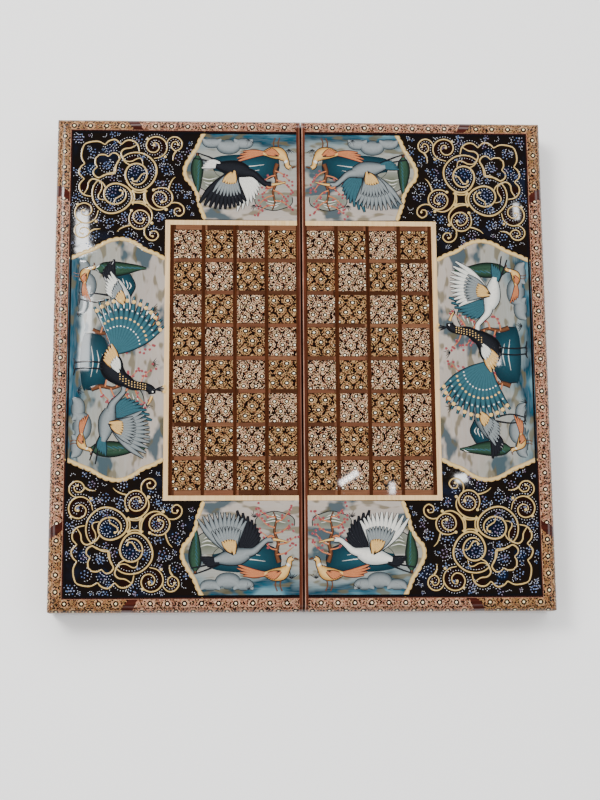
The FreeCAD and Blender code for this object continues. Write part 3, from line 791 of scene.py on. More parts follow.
def stroke(paint, line, widths, level, height, core, edge, across=5):
    """Lays a stroke along the line. v runs from -1 to 1 across it: the point is the
    line's, pushed out along its left side by v times half the width, and the height is
    `height` times 1 - v squared. Core colour in the middle fades to the edge colour."""
    v = np.linspace(-1, 1, across)
    half = np.broadcast_to(widths, (len(line),)) / 2
    flat = line[:, None, :] + left_of(line)[:, None, :] * (v[None, :, None] * half[:, None, None])
    rise = top_z + level + height * (1 - v**2)
    rise = np.broadcast_to(rise[None, :, None], (*flat.shape[:2], 1))
    fade = (np.abs(v) ** 2.2)[None, :, None]
    colours = np.array(srgb(core)) * (1 - fade) + np.array(srgb(edge)) * fade
    colours = np.broadcast_to(colours, (len(line), across, 3)).reshape(-1, 3)
    points = np.concatenate([flat, rise], axis=2).reshape(-1, 3)
    paint.add(points, grid_faces(len(line), across), colours)


def dots(paint, places, radii, colour, level, lift=0.35):
    """Small domes: a ring of eight points on the ground and a smaller ring above it. The
    wall is eight quads, and three quads that share a corner close the top."""
    places = np.asarray(places, float).reshape(-1, 2)
    radii = np.broadcast_to(radii, (len(places),))[:, None, None]
    ring = circle(np.arange(DOT_SIDES) * 2 * np.pi / DOT_SIDES)[None]
    foot = np.full((len(places), DOT_SIDES, 1), top_z + level)
    points = [
        np.concatenate([places[:, None, :] + ring * radii * share, foot + radii * rise], axis=2)
        for share, rise in ((1.0, 0.0), (0.6, lift))
    ]
    k = np.arange(DOT_SIDES)
    after = (k + 1) % DOT_SIDES
    wall = np.stack([k, after, after + DOT_SIDES, k + DOT_SIDES], axis=1)
    lid = np.array([[0, 1, 2, 3], [0, 3, 4, 5], [0, 5, 6, 7]]) + DOT_SIDES
    firsts = np.arange(len(places)) * 2 * DOT_SIDES
    faces = np.concatenate([wall, lid])[None] + firsts[:, None, None]
    colours = np.broadcast_to(srgb(colour), (len(places) * 2 * DOT_SIDES, 3))
    paint.add(np.concatenate(points, axis=1).reshape(-1, 3), faces.reshape(-1, 4), colours)


def pool(paint, outline, centre, level, colour, rings=4, heart=None):
    """A flat patch of paint: the closed outline, shrunk towards its centre in rings. Its
    colour may turn into that of its heart on the way in."""
    ahead = np.roll(outline, -1, axis=0)
    if np.sum(outline[:, 0] * ahead[:, 1] - ahead[:, 0] * outline[:, 1]) < 0:
        outline = outline[::-1]
    share = np.linspace(1.0, 0.001, rings)[:, None, None]
    flat = (centre + (outline - centre) * share).reshape(-1, 2)
    count = len(outline)
    i, j = np.meshgrid(np.arange(rings - 1), np.arange(count), indexing="ij")
    after = (j + 1) % count
    ring = i * count
    faces = np.stack([ring + j, ring + after, ring + count + after, ring + count + j], axis=2)
    points = np.concatenate([flat, np.full((len(flat), 1), top_z + level)], axis=1)
    blend = np.repeat(share.ravel(), count)[:, None]
    colours = np.array(srgb(colour)) * blend + np.array(srgb(heart or colour)) * (1 - blend)
    paint.add(points, faces.reshape(-1, 4), colours)


# %% [markdown]
# ## Gold scrolls
#
# Each corner has the same ornament, which is its own mirror image in the corner's
# diagonal: a lobed leaf with a bud in it, two big interlaced loops, and scrolls that run
# off along both edges. Only one half is written down. Places are in millimetres from the
# side and from the end of the box, which is how one would measure them with a rule.

# %% The lines of one corner, half of them
LEAF = (
    [(28.8, 28.8), (30.5, 27.6), (36, 26), (43, 25.8), (49.5, 29)],
    [(49.5, 29), (53.5, 25), (60, 23.6), (66, 28.8)],
    [(66, 28.8), (71, 24.6), (77, 24.4), (82.6, 28.6), (84.6, 36)],
    [(82, 28.6), (76, 32.2), (69.5, 33.4), (66, 37.4), (67.5, 43.5), (71, 48.4), (76, 51)],
)
BUD = (
    [(42, 42), (43.6, 40.2), (49, 39.8), (53, 41.8)],
    [(53, 41.8), (57, 38.2), (61.5, 38.8), (64.6, 43.6), (61.5, 49.5), (60.5, 58.5)],
    [(60.8, 58.8), (53, 60), (47, 63.6)],
)
LOOP = [
    (67.4, 42.6), (73, 38.8), (81, 37.2), (90, 39), (97.4, 44.6), (101.8, 52), (102, 60.5),
    (98, 69.5), (91, 76), (84, 77.6), (77.5, 75), (73, 69.5), (70.6, 62), (72, 55),
    (76.5, 50.4), (83, 49.2), (89, 52), (92.4, 58), (91.6, 65), (87, 70.4), (81, 71.6),
    (76.4, 69),
]
HOOK = [(67.6, 43), (71.5, 46.6), (77, 46.6), (83, 43.6), (87, 44.4), (88.4, 50)]
CURL = [(91.6, 59.5), (87.5, 60.6), (85, 64), (82.4, 67.6), (79, 68), (77.6, 65.4)]
NEAR_SCROLL = [(91, 78), (91.6, 87), (95.6, 94), (102, 98), (108.5, 97.8), (112.5, 95)]
NEAR_RING = [
    (99.6, 77.4), (105.5, 75), (112.5, 75.8), (117.6, 80.5), (118.8, 87), (116, 92.4),
    (110.5, 95.6), (104.5, 94.8), (100, 90.5), (99, 84.5), (102, 80), (107.5, 79.4),
    (112, 83), (112.6, 88.4), (108, 90.6),
]
NEAR_TAIL = [(114.6, 77), (116, 71.5), (118.4, 66.4), (121.6, 63)]
EDGE_SCROLL = [
    (99.5, 43.6), (107, 41.4), (111.8, 36), (112.6, 29), (108.5, 22.6), (101.5, 20),
    (94.5, 22.6), (91.6, 29.4), (94.6, 35.6), (100.6, 36.8), (104.6, 32.6), (103.4, 27.6),
    (99.6, 26.6), (98.4, 29.6),
]
FAR_SCROLL = [
    (112.4, 30), (113.4, 24.4), (118, 20.4), (124, 21), (128, 26), (126.8, 32), (121.6, 35),
    (117.6, 31.6), (118.2, 26.8), (122, 25), (124.4, 28.2),
]
FAR_TAIL = [(122.4, 35), (119.6, 39.6), (118.8, 46)]
INNER_SCROLL = [
    (113, 94.6), (118, 91), (124.6, 91), (129.8, 95), (130.4, 101), (126, 104.8),
    (121.4, 102.4), (121.4, 97.6), (125.4, 96.6), (127, 99.6),
]
# line, widest and narrowest width, and where along it the line is widest
SCROLLS = (
    *((line, 2.1, 0.62, 0.5) for line in (*LEAF, *BUD)),
    (LOOP, 2.5, 0.62, 0.42),
    (HOOK, 1.6, 0.5, 0.6),
    (CURL, 1.9, 0.6, 0.7),
    (NEAR_SCROLL, 2.2, 0.6, 0.2),
    (NEAR_RING, 2.0, 0.6, 0.3),
    (NEAR_TAIL, 2.0, 0.25, 0.1),
    (EDGE_SCROLL, 1.9, 0.55, 0.35),
    (FAR_SCROLL, 1.9, 0.55, 0.35),
    (FAR_TAIL, 2.4, 0.2, 0.1),
    (INNER_SCROLL, 1.9, 0.55, 0.3),
)

# %% Beads, shades and the diamond between the loops
BEADS = (
    (77.6, 65.6, 1.5), (99.4, 77.2, 1.8), (108.2, 89.8, 1.9), (112.4, 98, 1.9),
    (93, 22.6, 1.7), (99.4, 29.2, 1.7), (111, 41.6, 1.7), (124, 28.4, 1.4),
    (126.4, 99, 1.4),
)
BRUSH = 0.84
DIAMOND = 84.8
BOW = ((-7.2, 7.4), (-3.0, 5.0), (3.0, 5.0), (7.2, 7.4))
GILT = ("dcbe7c", "5e4220")
MAROON = "1c0c08"
NIGHT = "0b1424"
SHADES = (
    (106, 87, 11.5, MAROON), (101.5, 31, 10.5, MAROON), (122, 28, 6.5, MAROON),
    (75.5, 29, 4.6, MAROON), (77, 43, 5.0, MAROON), (125.5, 99, 5.0, MAROON),
    (81.8, 60.4, 10.0, NIGHT), (36, 55, 6.5, NIGHT),
)


def at_corner(side, end):
    """Turns distances from the side and from the end into places on the board."""

    def place(points):
        a, b = np.moveaxis(np.asarray(points, float), -1, 0)
        return np.stack([side * (outer_x - a), end * (end_y - b)], axis=-1)

    return place


def corners():
    """The four corners, each as its side and what turns its distances into places."""
    return [(side, at_corner(side, end)) for side in SIDES for end in ENDS]


def swapped(points):
    """The mirror image in a corner's diagonal."""
    return np.asarray(points, float)[..., ::-1]


def both_ways(a, b):
    """A place and its mirror image, or one place where it lies on the diagonal."""
    return ((a, b), (b, a)) if a != b else ((a, b),)


def diamond_sides():
    """The four gold sides of the dark diamond between the loops, each bowed inwards."""
    for quarter in range(4):
        ahead = circle(np.pi / 2 * quarter)
        out = np.array([-ahead[1], ahead[0]])
        yield curve([ahead * along + out * off for along, off in BOW]) + DIAMOND


# %% Laying the scrolls
scroll_paint, shade_paint = for_halves(), for_halves()
for side, place in corners():
    for points, thick, thin, peak in SCROLLS:
        line = curve(points)
        widths = swell(len(line), thick, thin, peak) * BRUSH
        for half in (line, swapped(line)):
            stroke(scroll_paint[side], place(half), widths, SCROLL_LEVEL, SCROLL_RISE, *GILT)
    for line in diamond_sides():
        widths = 4.4 - swell(len(line), 3.0, 0.2)
        stroke(scroll_paint[side], place(line), widths, BAND_LEVEL, SCROLL_RISE, *GILT)
    for a, b, radius, colour in SHADES:
        for centre in both_ways(a, b):
            ring = centre + circle(np.linspace(0, 2 * np.pi, 24, endpoint=False)) * radius
            pool(shade_paint[side], place(ring), place(centre), SHADE_LEVEL, colour)
    spots, radii = np.split(np.array(BEADS), [2], axis=1)
    spots = place(np.concatenate([spots, swapped(spots)]))
    dots(scroll_paint[side], spots, np.tile(radii.ravel(), 2) * BRUSH, GILT[0], BEAD_LEVEL, 0.12)
print(f"{2 * len(SCROLLS) + 4} strokes and {2 * len(BEADS)} beads in each corner")

# %% [markdown]
# ## Dotted flowers
#
# Between the scrolls the painter set flowers of round dabs in blues and a dull lilac, and
# closed each one in with an arc of tiny white dots. More tiny dots follow the inner side
# of every scroll. A dot is only a few faces, as there are thousands of them.

# %% Where the flowers and the dots are
DOT_WHITE = "ccd0dc"
DABS = ("4e628e", "6478a0", "6c7498", "70607c", "425c8a", "848cac")
DOT_SIZE, FILL_SIZE = 0.44, 0.42
ROW_STEP, ARC_STEP, FILL_STEP = 2.7, 2.2, 1.9
ARC_OUT = 3.2
SPINE_CLEAR = 5.2
FILL_TRIES = 900
# place, number of dabs, and radius of the flower
FLOWERS = (
    (35.5, 55, 7, 3.4), (52, 51, 7, 3.4), (37, 37, 6, 3.4), (80, 57.5, 8, 3.8),
    (65, 57, 5, 2.6), (112, 56, 8, 3.8), (106, 86, 6, 2.6), (125, 74, 7, 3.4),
    (125, 42, 6, 3.2), (24, 21, 6, 3.2), (86, 17.6, 4, 2.0), (57, 18, 5, 2.6),
    (95, 58, 4, 2.6), (118, 100, 4, 2.2), (110, 70, 4, 2.4), (24, 84, 6, 3.4),
    (102, 29, 3, 1.6), (54, 96, 5, 3.0), (70, 104, 5, 2.8), (88, 43, 3, 2.0),
    (60, 27, 4, 2.4), (106, 108, 4, 2.4), (132, 84, 4, 2.2), (135, 35, 4, 2.4),
    (44, 110, 4, 2.6),
)
# lines that a row of dots follows, and how far to the right of them it runs
ROWS = (
    (LOOP, -3.0), (NEAR_RING, -2.8), (EDGE_SCROLL, -2.7), (FAR_SCROLL, -2.5),
    (BUD[1], 3.0), (LEAF[2], 3.0),
)
# edges of the medallions, half of the one at the side and half of the one at the end
SIDE_EDGE = (
    [(15.6, 149.5), (29, 143.5), (39.5, 139.2), (49, 133.6), (57, 130), (65.6, 128.4)],
    [(65.6, 128.4), (74.6, 129.8), (84, 134.2), (91.5, 139.6), (103, 144.2), (111.8, 149.5)],
)
END_EDGE = (
    [(150.6, 14.6), (147.6, 19.5), (145, 25), (142.6, 31), (137, 40), (131.6, 50), (130, 56.8)],
    [(130, 56.8), (131.8, 64.4), (137.4, 71.2), (143, 81), (145.4, 92.5), (151, 108)],
)


# %% Dots
rng = np.random.default_rng(7)


def inside(places, margin=1.2):
    """Whether each place lies on the painted ground, clear of the border."""
    a, b = places[:, 0], places[:, 1]
    return (a > outer_x - paint_x + margin) & (b > end_y - paint_y + margin)


def on_ground(places):
    """Whether each place is on the dark ground of a corner, between the medallions."""
    a, b = places[:, 0], places[:, 1]
    side_edge = np.interp(a, *np.concatenate(SIDE_EDGE).T)
    end_edge = np.interp(b, *np.concatenate(END_EDGE)[:, ::-1].T)
    off_board = (a > 110) & (b > 106)
    return inside(places, 2.5) & (b < side_edge - 4) & (a < end_edge - 4) & ~off_board


def white_dots(paint, place, places, size=DOT_SIZE):
    dots(paint, place(places), size, DOT_WHITE, DOT_LEVEL)


def dotted_corner(paint, place):
    """The rows along the scrolls, and the flowers with an arc round each."""
    for points, distance in ROWS:
        row = ticks(aside(curve(points), -distance), ROW_STEP)
        for half in (row, swapped(row)):
            white_dots(paint, place, half[inside(half)])
    for a, b, count, radius in FLOWERS:
        for centre in both_ways(a, b):
            turn = rng.uniform(0, 2 * np.pi)
            ring = centre + circle(turn + np.arange(count) * 2 * np.pi / count) * radius
            ring += rng.normal(0, 0.3, ring.shape)
            dabs = np.concatenate([ring, [centre]])
            shade = rng.integers(0, 5)
            for dab in dabs[inside(dabs)]:
                colour = DABS[(shade + rng.integers(0, 2)) % len(DABS)]
                dots(paint, place(dab), rng.uniform(0.6, 0.92), colour, DOT_LEVEL)
            sweep = np.radians(rng.uniform(80, 170))
            around = turn + np.linspace(0, sweep, int(sweep * (radius + ARC_OUT) / ARC_STEP))
            arc = centre + circle(around) * (radius + ARC_OUT)
            white_dots(paint, place, arc[inside(arc)])


def fill_corner(paint, place):
    """Short arcs of white dots, and now and then three small blue ones, where room is
    left by the scrolls, the flowers and the arcs so far."""
    lines = [curve(points) for points, *_ in SCROLLS]
    taken = np.concatenate([*lines, np.array(FLOWERS)[:, :2]])
    taken = np.concatenate([taken, swapped(taken)])
    for centre in rng.uniform((16, 16), (148, 148), (FILL_TRIES, 2)):
        if np.min(np.linalg.norm(taken - centre, axis=1)) < SPINE_CLEAR:
            continue
        turn, sweep = rng.uniform(0, 2 * np.pi), rng.uniform(1.6, 3.6)
        radius = rng.uniform(1.8, 3.4)
        arc = centre + radius * circle(turn + np.arange(0, sweep, FILL_STEP / radius))
        if not np.all(on_ground(arc)):
            continue
        white_dots(paint, place, arc, FILL_SIZE)
        if rng.uniform() < 0.6:
            cluster = centre + 0.9 * circle(rng.uniform(0, 6) + np.arange(3) * 2.1)
            dots(paint, place(cluster), 0.55, DABS[rng.integers(0, len(DABS))], DOT_LEVEL)
        taken = np.concatenate([taken, arc])


dot_paint = for_halves()
for side, place in corners():
    dotted_corner(dot_paint[side], place)
    fill_corner(dot_paint[side], place)
print(f"{sum(paint.count for paint in dot_paint.values()) // (2 * DOT_SIDES)} dots and dabs")

# %% [markdown]
# ## Medallion grounds
#
# A medallion stands at each side, and another is halved by the seam at each end. Its edge
# is a gold band: smooth inside and scalloped outside. The scallops are half waves of a
# sine along the edge, so their number follows from the edge's length. The ground is a
# misty hillside: water at its foot, pale slopes above, and patches and dabs of scrub.

# %% The painted hillside
HILLSIDE = (
    (0.10, "5c8490"), (0.15, "1f4c5e"), (0.22, "143442"), (0.27, "6c7c80"),
    (0.34, "8f908a"), (0.60, "969288"), (0.80, "a0968e"), (0.95, "aa9f94"),
)
HILLSIDE_TALL = 112.0

scene_paint = Finish("scene_ground")
x, y, _ = scene_paint.place()
at_end = abs(x) < cream_x
rise = at_end.choose(end_y - abs(y), outer_x - abs(x))
run = at_end.choose(x, y)


def cloud(detail, along, up, layer=0.0):
    """Noise that is stretched along the hillside and up it."""
    return scene_paint.noise(1.0, detail, scene_paint.vector(run * along, rise * up, layer))


def patches(noise, first, full):
    """Soft-edged patches, from where the noise passes the first number."""
    return scene_paint.ramp(noise, "LINEAR", (first, "000000"), (full, "ffffff"))


warp = scene_paint.noise(0.028, 2.0) - 0.5
hill = (run * 0.055).math("SINE") * 5.0
height = (rise + warp * 34.0 + hill) / HILLSIDE_TALL
scene_paint.feed("Base Color", scene_paint.ramp(height, "LINEAR", *HILLSIDE))
scene_paint.coat((cloud(3.0, 0.06, 0.5) - 0.42) * 0.4, "b8c4ca")
washed = patches(cloud(3.0, 0.022, 0.034, 9.0), 0.55, 0.61) * (height > 0.30).choose(0.85, 0.0)
scene_paint.coat(washed, "1a3c4a")
scene_paint.coat(patches(cloud(1.0, 0.055, 0.13, 5.0), 0.56, 0.64) * 0.7, "5c5236")
lacquer(scene_paint)

# %% Grounds and gold bands
BAND = 2.9
SCALLOP = 6.6
SCALLOP_OUT = 1.7
BAND_GILT = ("e2c68c", "b08c50")
SIDE_HEART, END_HEART = (66.0, end_y), (190.0, 60.0)


def band(paint, place, points, inward):
    """The gold edge of a medallion, as one stroke whose outside is scalloped."""
    smooth = curve(points, per=24)
    run = run_of(smooth)
    waves = max(1, round(run[-1] / SCALLOP))
    wave = np.abs(np.sin(np.pi * waves * run / run[-1])) ** 0.7
    outer = aside(smooth, -inward * SCALLOP_OUT * wave)
    inner = aside(smooth, inward * BAND)
    widths = np.linalg.norm(outer - inner, axis=1)
    stroke(paint, place((outer + inner) / 2), widths, BAND_LEVEL, BAND_RISE, *BAND_GILT)


def lay_ground(side, place, lines, heart):
    outline = place(np.concatenate(lines))
    pool(ground_layers[side], outline, place(heart), GROUND_LEVEL, "ffffff", 6)


def edge_line(parts):
    return np.concatenate([curve(part, per=10) for part in parts])


ground_layers = for_halves()
for side in SIDES:
    upper = edge_line(SIDE_EDGE)
    lower = upper[::-1] * (1, -1) + (0, 2 * end_y)
    lay_ground(side, at_corner(side, 1), [upper, lower], SIDE_HEART)
at_seam = outer_x - strip_x
for side, place in corners():
    for parts, inward in ((SIDE_EDGE, 1.0), (END_EDGE, -1.0)):
        for part in parts:
            band(scroll_paint[side], place, part, inward)
    closing = [(at_seam, end_y - cream_y), (at_seam, end_y - paint_y)]
    lay_ground(side, place, [edge_line(END_EDGE), closing], END_HEART)
print(f"{len(ENDS)} medallions at the ends, {len(SIDES)} at the sides")

# %% [markdown]
# ## The dark line along the panel's edge
#
# A dark line along the outer edge of the panel frames the gold and the medallions. It
# lies over both of them, and the long line along the side lies a hair above the others.

# %% Rim line
RIM_LINE = 2.1
RIM_DARK = ("100f12", "100f12")
x, y = paint_x - RIM_LINE / 2, paint_y - RIM_LINE / 2
for side in SIDES:
    for start, stop, level in (
        ((strip_x, y), (paint_x, y), 0.160),
        ((strip_x, -y), (paint_x, -y), 0.160),
        ((x, paint_y), (x, -paint_y), 0.163),
    ):
        line = np.linspace(start, stop, 12) * (side, 1)
        stroke(shade_paint[side], line, RIM_LINE, level, 0.0, *RIM_DARK, across=2)
print(f"rim line {RIM_LINE} mm wide")

# %% [markdown]
# ## Scenes in the medallions
#
# The scenes are a design of this script's own, in the manner of lacquer boxes: cranes, a
# peacock, pheasants, cypresses and blossoming branches. Each figure is a few strokes with
# widths of their own, drawn facing right and standing on the origin, in millimetres.
# `Figure` turns, flips and scales it into its place, and every stroke lies a hair above
# the last, as paint does. A wider, darker stroke below each one is its outline.

# %% A figure on the board
# the colour in the middle of a stroke and at its edges
INK = ("1c1d22", "1c1d22")
WHITE = ("efeee6", "a0a8a8")
GREY = ("8f979a", "3e4a50")
BLACK = ("22242a", "0d0e11")
TEAL = ("3a6470", "12303c")
OCHRE = ("e8c07a", "a87838")
CORAL = ("cc8458", "8c4030")
PINE = ("34503f", "121e19")
BARK = ("6e4630", "341d14")
PETAL = ("c88c8c", "94484e")
POND = ("26505e", "122c36")
MOSS = ("5f6454", "84877e")
# how high a figure's first stroke lies, and each next one above it
UNDER, BEHIND, BEFORE = 0.04, 0.08, 0.17
STEP = 0.003
HILL_STEP = 0.0083


class Figure:
    """Draws strokes given in a figure's own frame."""

    def __init__(self, paint, origin, turn, spot, size, flip, level):
        self.paint = paint
        self.origin = np.array(origin)
        self.turn = np.radians(turn)
        self.spot = np.array(spot)
        self.size = size
        self.flip = flip
        self.level = level

    def place(self, points):
        flat = np.asarray(points, float)[..., :2] * (self.size * self.flip, self.size) + self.spot
        cos, sin = circle(self.turn)
        x, y = flat[..., 0], flat[..., 1]
        return np.stack([x * cos - y * sin, x * sin + y * cos], axis=-1) + self.origin

    def limb(self, rows, tones, rim=1.5, per=5):
        """A stroke through rows of (across, up, width), and its outline."""
        line = curve(rows, per)
        widths = np.maximum(line[:, 2], 0.3) * self.size
        flat = self.place(line)
        if rim:
            stroke(self.paint, flat, widths + rim, self.level, 0.0, *INK, across=2)
            self.level += STEP
        stroke(self.paint, flat, widths, self.level, 0.02, *tones)
        self.level += STEP

    def fan(self, root, angles, lengths, widths, tones, bend=0.0, rim=1.1, quill=True):
        """Feathers from one root. Each curves as it goes out, by `bend` degrees."""
        steps = np.linspace(0, 1, 4)
        for angle, length, width in zip(angles, lengths, widths):
            heading = np.radians(angle + bend * steps)
            line = root + circle(heading) * (length * steps)[:, None]
            swelling = width * np.array([0.45, 0.9, 1.0, 0.25])
            self.limb(np.column_stack([line, swelling]), tones, rim, per=4)
            if quill:
                self.limb(np.column_stack([line, np.full(4, 0.3)]), INK, 0.0, per=4)

    def leg(self, foot, *rows):
        """A leg down to the foot, with toes in front and behind."""
        self.limb([*rows], BLACK, 0.0)
        self.limb([(foot - 4, 0, 0.8), (foot, 1, 1.4), (foot + 6, 0, 0.8)], BLACK, 0.0)

    def dab(self, places, radius, colour):
        dots(self.paint, self.place(places), radius * self.size, colour, self.level, 0.05)
        self.level += STEP


def feathers(first, last, count, longest, shortest, width):
    """Angles, lengths and widths of feathers that grow shorter from first to last."""
    lengths = np.linspace(longest, shortest, count)
    return np.linspace(first, last, count), lengths, [width] * count


# %% Cranes
def crane(figure, coat, tips, accent):
    """A crane that stands, with its wing folded."""
    for foot, lean in ((0, -2), (4, 3)):
        figure.leg(foot, (foot, 30, 2.0), (foot + lean, 15, 1.5), (foot, 1, 1.4))
    figure.fan((-10, 37), *feathers(203, 242, 6, 28, 20, 4.4), tips, -18)
    figure.limb([(-19, 33, 4), (-11, 37, 13), (1, 41, 19), (10, 44, 17), (16, 50, 9)], coat)
    neck = [(13, 46, 10), (21, 52, 8), (22, 60, 5.6), (18, 66, 4.8), (20, 73, 5.2), (25, 75, 5.6)]
    figure.limb(neck, coat)
    figure.limb([(26, 75, 3.0), (33, 73, 2.0), (41, 70, 0.8)], OCHRE, 0.6)
    figure.limb([(18, 77, 1.6), (22, 78.6, 2.6), (26, 77.6, 1.2)], CORAL, 0.5)
    figure.fan((7, 44), *feathers(194, 230, 7, 34, 20, 4.8), coat, 8)
    figure.fan((8, 45), *feathers(190, 226, 6, 24, 15, 4.2), GREY, 8)
    figure.fan((9, 45), *feathers(186, 222, 4, 15, 11, 4.4), accent, 8)
    figure.dab([(24.5, 75.4)], 0.7, INK[0])


def flying_crane(figure, coat, tips, accent):
    """A crane with its wings spread."""
    figure.fan((6, 44), *feathers(80, 26, 8, 45, 27, 5.4), tips, 14)
    figure.limb([(-12, 38, 3), (-28, 33, 1.8), (-44, 30, 1.2)], BLACK, 0.0)
    figure.limb([(-12, 36, 3), (-26, 29, 1.8), (-40, 24, 1.2)], BLACK, 0.0)
    figure.fan((-10, 39), *feathers(184, 210, 5, 25, 19, 4.4), tips, -8)
    figure.limb([(-20, 38, 5), (-8, 40, 14), (4, 42, 17), (14, 45, 11)], coat)
    figure.limb([(11, 45, 10), (20, 47, 7), (27, 53, 5.2), (33, 58, 4.8), (39, 59, 5.4)], coat)
    figure.limb([(40, 59, 3.0), (47, 58, 2.0), (55, 56, 0.8)], OCHRE, 0.6)
    figure.limb([(34, 61, 1.6), (37, 62.4, 2.4), (41, 61.6, 1.2)], CORAL, 0.5)
    figure.fan((0, 44), *feathers(152, 86, 11, 52, 36, 5.6), coat, -16)
    figure.fan((0, 44), *feathers(148, 90, 9, 33, 26, 4.6), GREY, -14)
    figure.fan((0, 44), *feathers(144, 96, 6, 18, 14, 4.4), accent, -10)
    figure.dab([(38.4, 59.6)], 0.7, INK[0])


# %% Peacock and pheasant
# how far out along a tail feather each ring of its eye is, with radius and colour
TAIL_EYES = (
    (0.91, 1.9, OCHRE[0]), (0.91, 1.1, INK[0]), (0.76, 0.8, WHITE[0]),
    (0.62, 1.1, OCHRE[0]), (0.48, 0.7, WHITE[0]),
)


def peacock(figure, coat, tips, accent):
    """A peacock with its tail raised behind it, and an eye on each long feather."""
    angles = np.linspace(187, 104, 13)
    lengths = 57 - 13 * (np.linspace(-0.85, 0.6, 13) ** 2)
    figure.fan((-8, 36), angles, lengths, [5.0] * 13, tips, 16, quill=False)
    for share, radius, colour in TAIL_EYES:
        out = circle(np.radians(angles + 16 * share)) * (lengths * share)[:, None]
        figure.dab(out + (-8, 36), radius, colour)
    for foot in (0, 6):
        figure.leg(foot, (foot, 26, 1.6), (foot - 1, 12, 1.2), (foot, 1, 1.3))
    figure.limb([(-12, 36, 6), (-4, 34, 17), (6, 35, 20), (14, 42, 14), (18, 50, 9)], coat)
    figure.limb([(16, 46, 11), (21, 54, 8), (22, 64, 6), (25, 70, 6.4), (29, 71, 5)], coat)
    figure.limb([(31, 71, 2.6), (36, 69, 1.8), (39, 67, 0.8)], OCHRE, 0.5)
    figure.fan((25, 73), (112, 96, 80), (9, 10, 9), (1.2, 1.2, 1.2), BLACK, 0, 0.0, quill=False)
    figure.dab([(21.6, 82), (24, 83.4), (27, 82)], 1.5, OCHRE[0])
    figure.fan((8, 40), *feathers(184, 220, 6, 26, 17, 4.8), accent, 10)
    figure.fan((9, 41), *feathers(180, 214, 4, 15, 11, 4.4), WHITE, 10)
    neck = curve([(13, 42), (19, 50), (21, 58), (22.5, 65)], 3)
    for shift in (-2.2, 0, 2.2):
        figure.dab(neck + (shift, 0), 0.55, OCHRE[0])
    figure.dab([(27, 71.6)], 0.8, WHITE[0])


def pheasant(figure, coat, tips, accent):
    """A pheasant with a long level tail."""
    for foot in (0, 5):
        figure.limb([(foot, 12, 1.6), (foot - 1, 6, 1.2), (foot + 1, 0, 1.4)], BARK, 0.0)
    figure.fan((-6, 18), *feathers(174, 194, 4, 38, 28, 3.2), tips, -10)
    figure.limb([(-12, 18, 4), (-4, 17, 11), (5, 18, 13), (11, 23, 8)], coat)
    figure.limb([(10, 21, 7), (13, 27, 5), (14, 32, 4.6), (17, 34, 4.6)], coat)
    figure.limb([(18.6, 34, 2), (23, 32.6, 0.8)], BARK, 0.4)
    figure.fan((5, 20), *feathers(184, 216, 5, 17, 11, 3.6), accent, 8)
    figure.limb([(11.6, 26, 4.4), (13.2, 28, 4.6)], WHITE, 0.0)
    figure.dab([(16.6, 34.4)], 0.6, INK[0])


# %% Trees, hills and rocks
def cypress(figure):
    figure.limb([(0, -2, 3), (0, 6, 3.4)], BARK)
    crown = [(0, 3, 3), (0, 12, 15), (0.5, 28, 19), (0, 44, 14), (-1, 58, 7), (-0.5, 70, 1)]
    figure.limb(crown, PINE)
    for up in np.arange(12, 58, 6.5):
        side = 5.5 * (1 - up / 80)
        figure.limb([(-side, up - 2, 1), (-side * 0.4, up + 3, 1.8), (0, up + 6, 0.6)], TEAL, 0.0)
        figure.limb([(side, up, 1), (side * 0.5, up + 5, 1.8), (0.4, up + 8, 0.6)], PINE, 0.0)


def blossoms(figure, rng):
    """A branch in flower. Its twigs leave it at both sides and end in dabs."""
    trunk = [(0, 0, 5), (3, 10, 3.8), (1, 21, 3.0), (5, 33, 2.2), (3, 45, 1.4), (6, 54, 0.8)]
    trunk = curve(trunk, 6)
    figure.limb(trunk[::3], BARK, 0.6)
    for number, step in enumerate(range(5, len(trunk) - 2, 3)):
        root = trunk[step, :2]
        side = 1 if number % 2 else -1
        tip = root + (side * rng.uniform(12, 19), rng.uniform(8, 13))
        bend = (root + tip) / 2 + (0, -2.5)
        figure.limb([(*root, 1.8), (*bend, 1.4), (*tip, 0.7)], CORAL, 0.0)
        ends = [tip + (side * 2.5, 2), tip + (0, 3.5)]
        spray = np.concatenate([np.linspace(bend, tip, 4), ends])
        spray = spray + rng.normal(0, 1.6, spray.shape)
        figure.dab(spray, 1.4, PETAL[1])
        figure.dab(spray + rng.normal(0, 0.5, spray.shape), 0.8, PETAL[0])


def tuft(figure):
    """Grass: thin black blades from one root."""
    lengths = [5 + (blade % 3) * 1.6 for blade in range(6)]
    figure.fan((0, 0), np.linspace(35, 145, 6), lengths, [0.8] * 6, BLACK, 0, 0.0, quill=False)


def mound(figure, wide, tall, tones):
    """A hill or a pond: half an oval whose edge swells in three lobes. A thin ink line
    runs round it, and a few pale ripples cross it."""
    turn = np.linspace(0, np.pi, 40)
    cos, sin = circle(turn).T
    swollen = 1 + 0.07 * np.abs(np.sin(turn * 3)) - 0.05
    top = np.stack([cos * wide / 2 * swollen, sin**0.8 * tall * swollen], axis=1)
    foot = np.stack([-cos * wide / 2, -sin * tall * 0.22], axis=1)[1:-1]
    outline, centre = figure.place(np.concatenate([top, foot])), figure.place((0, tall * 0.3))
    pool(figure.paint, outline, centre, figure.level, tones[1], 5, tones[0])
    figure.level += STEP
    edge = np.column_stack([top, np.full(len(top), 0.9)])
    figure.limb(edge[::3], INK, 0.0)
    for share in (0.2, 0.42, 0.62):
        reach = wide * 0.33 * (1 - share)
        up = tall * share
        figure.limb([(-reach, up, 0.3), (0, up + 2.0, 1.0), (reach, up, 0.3)], WHITE, 0.0)


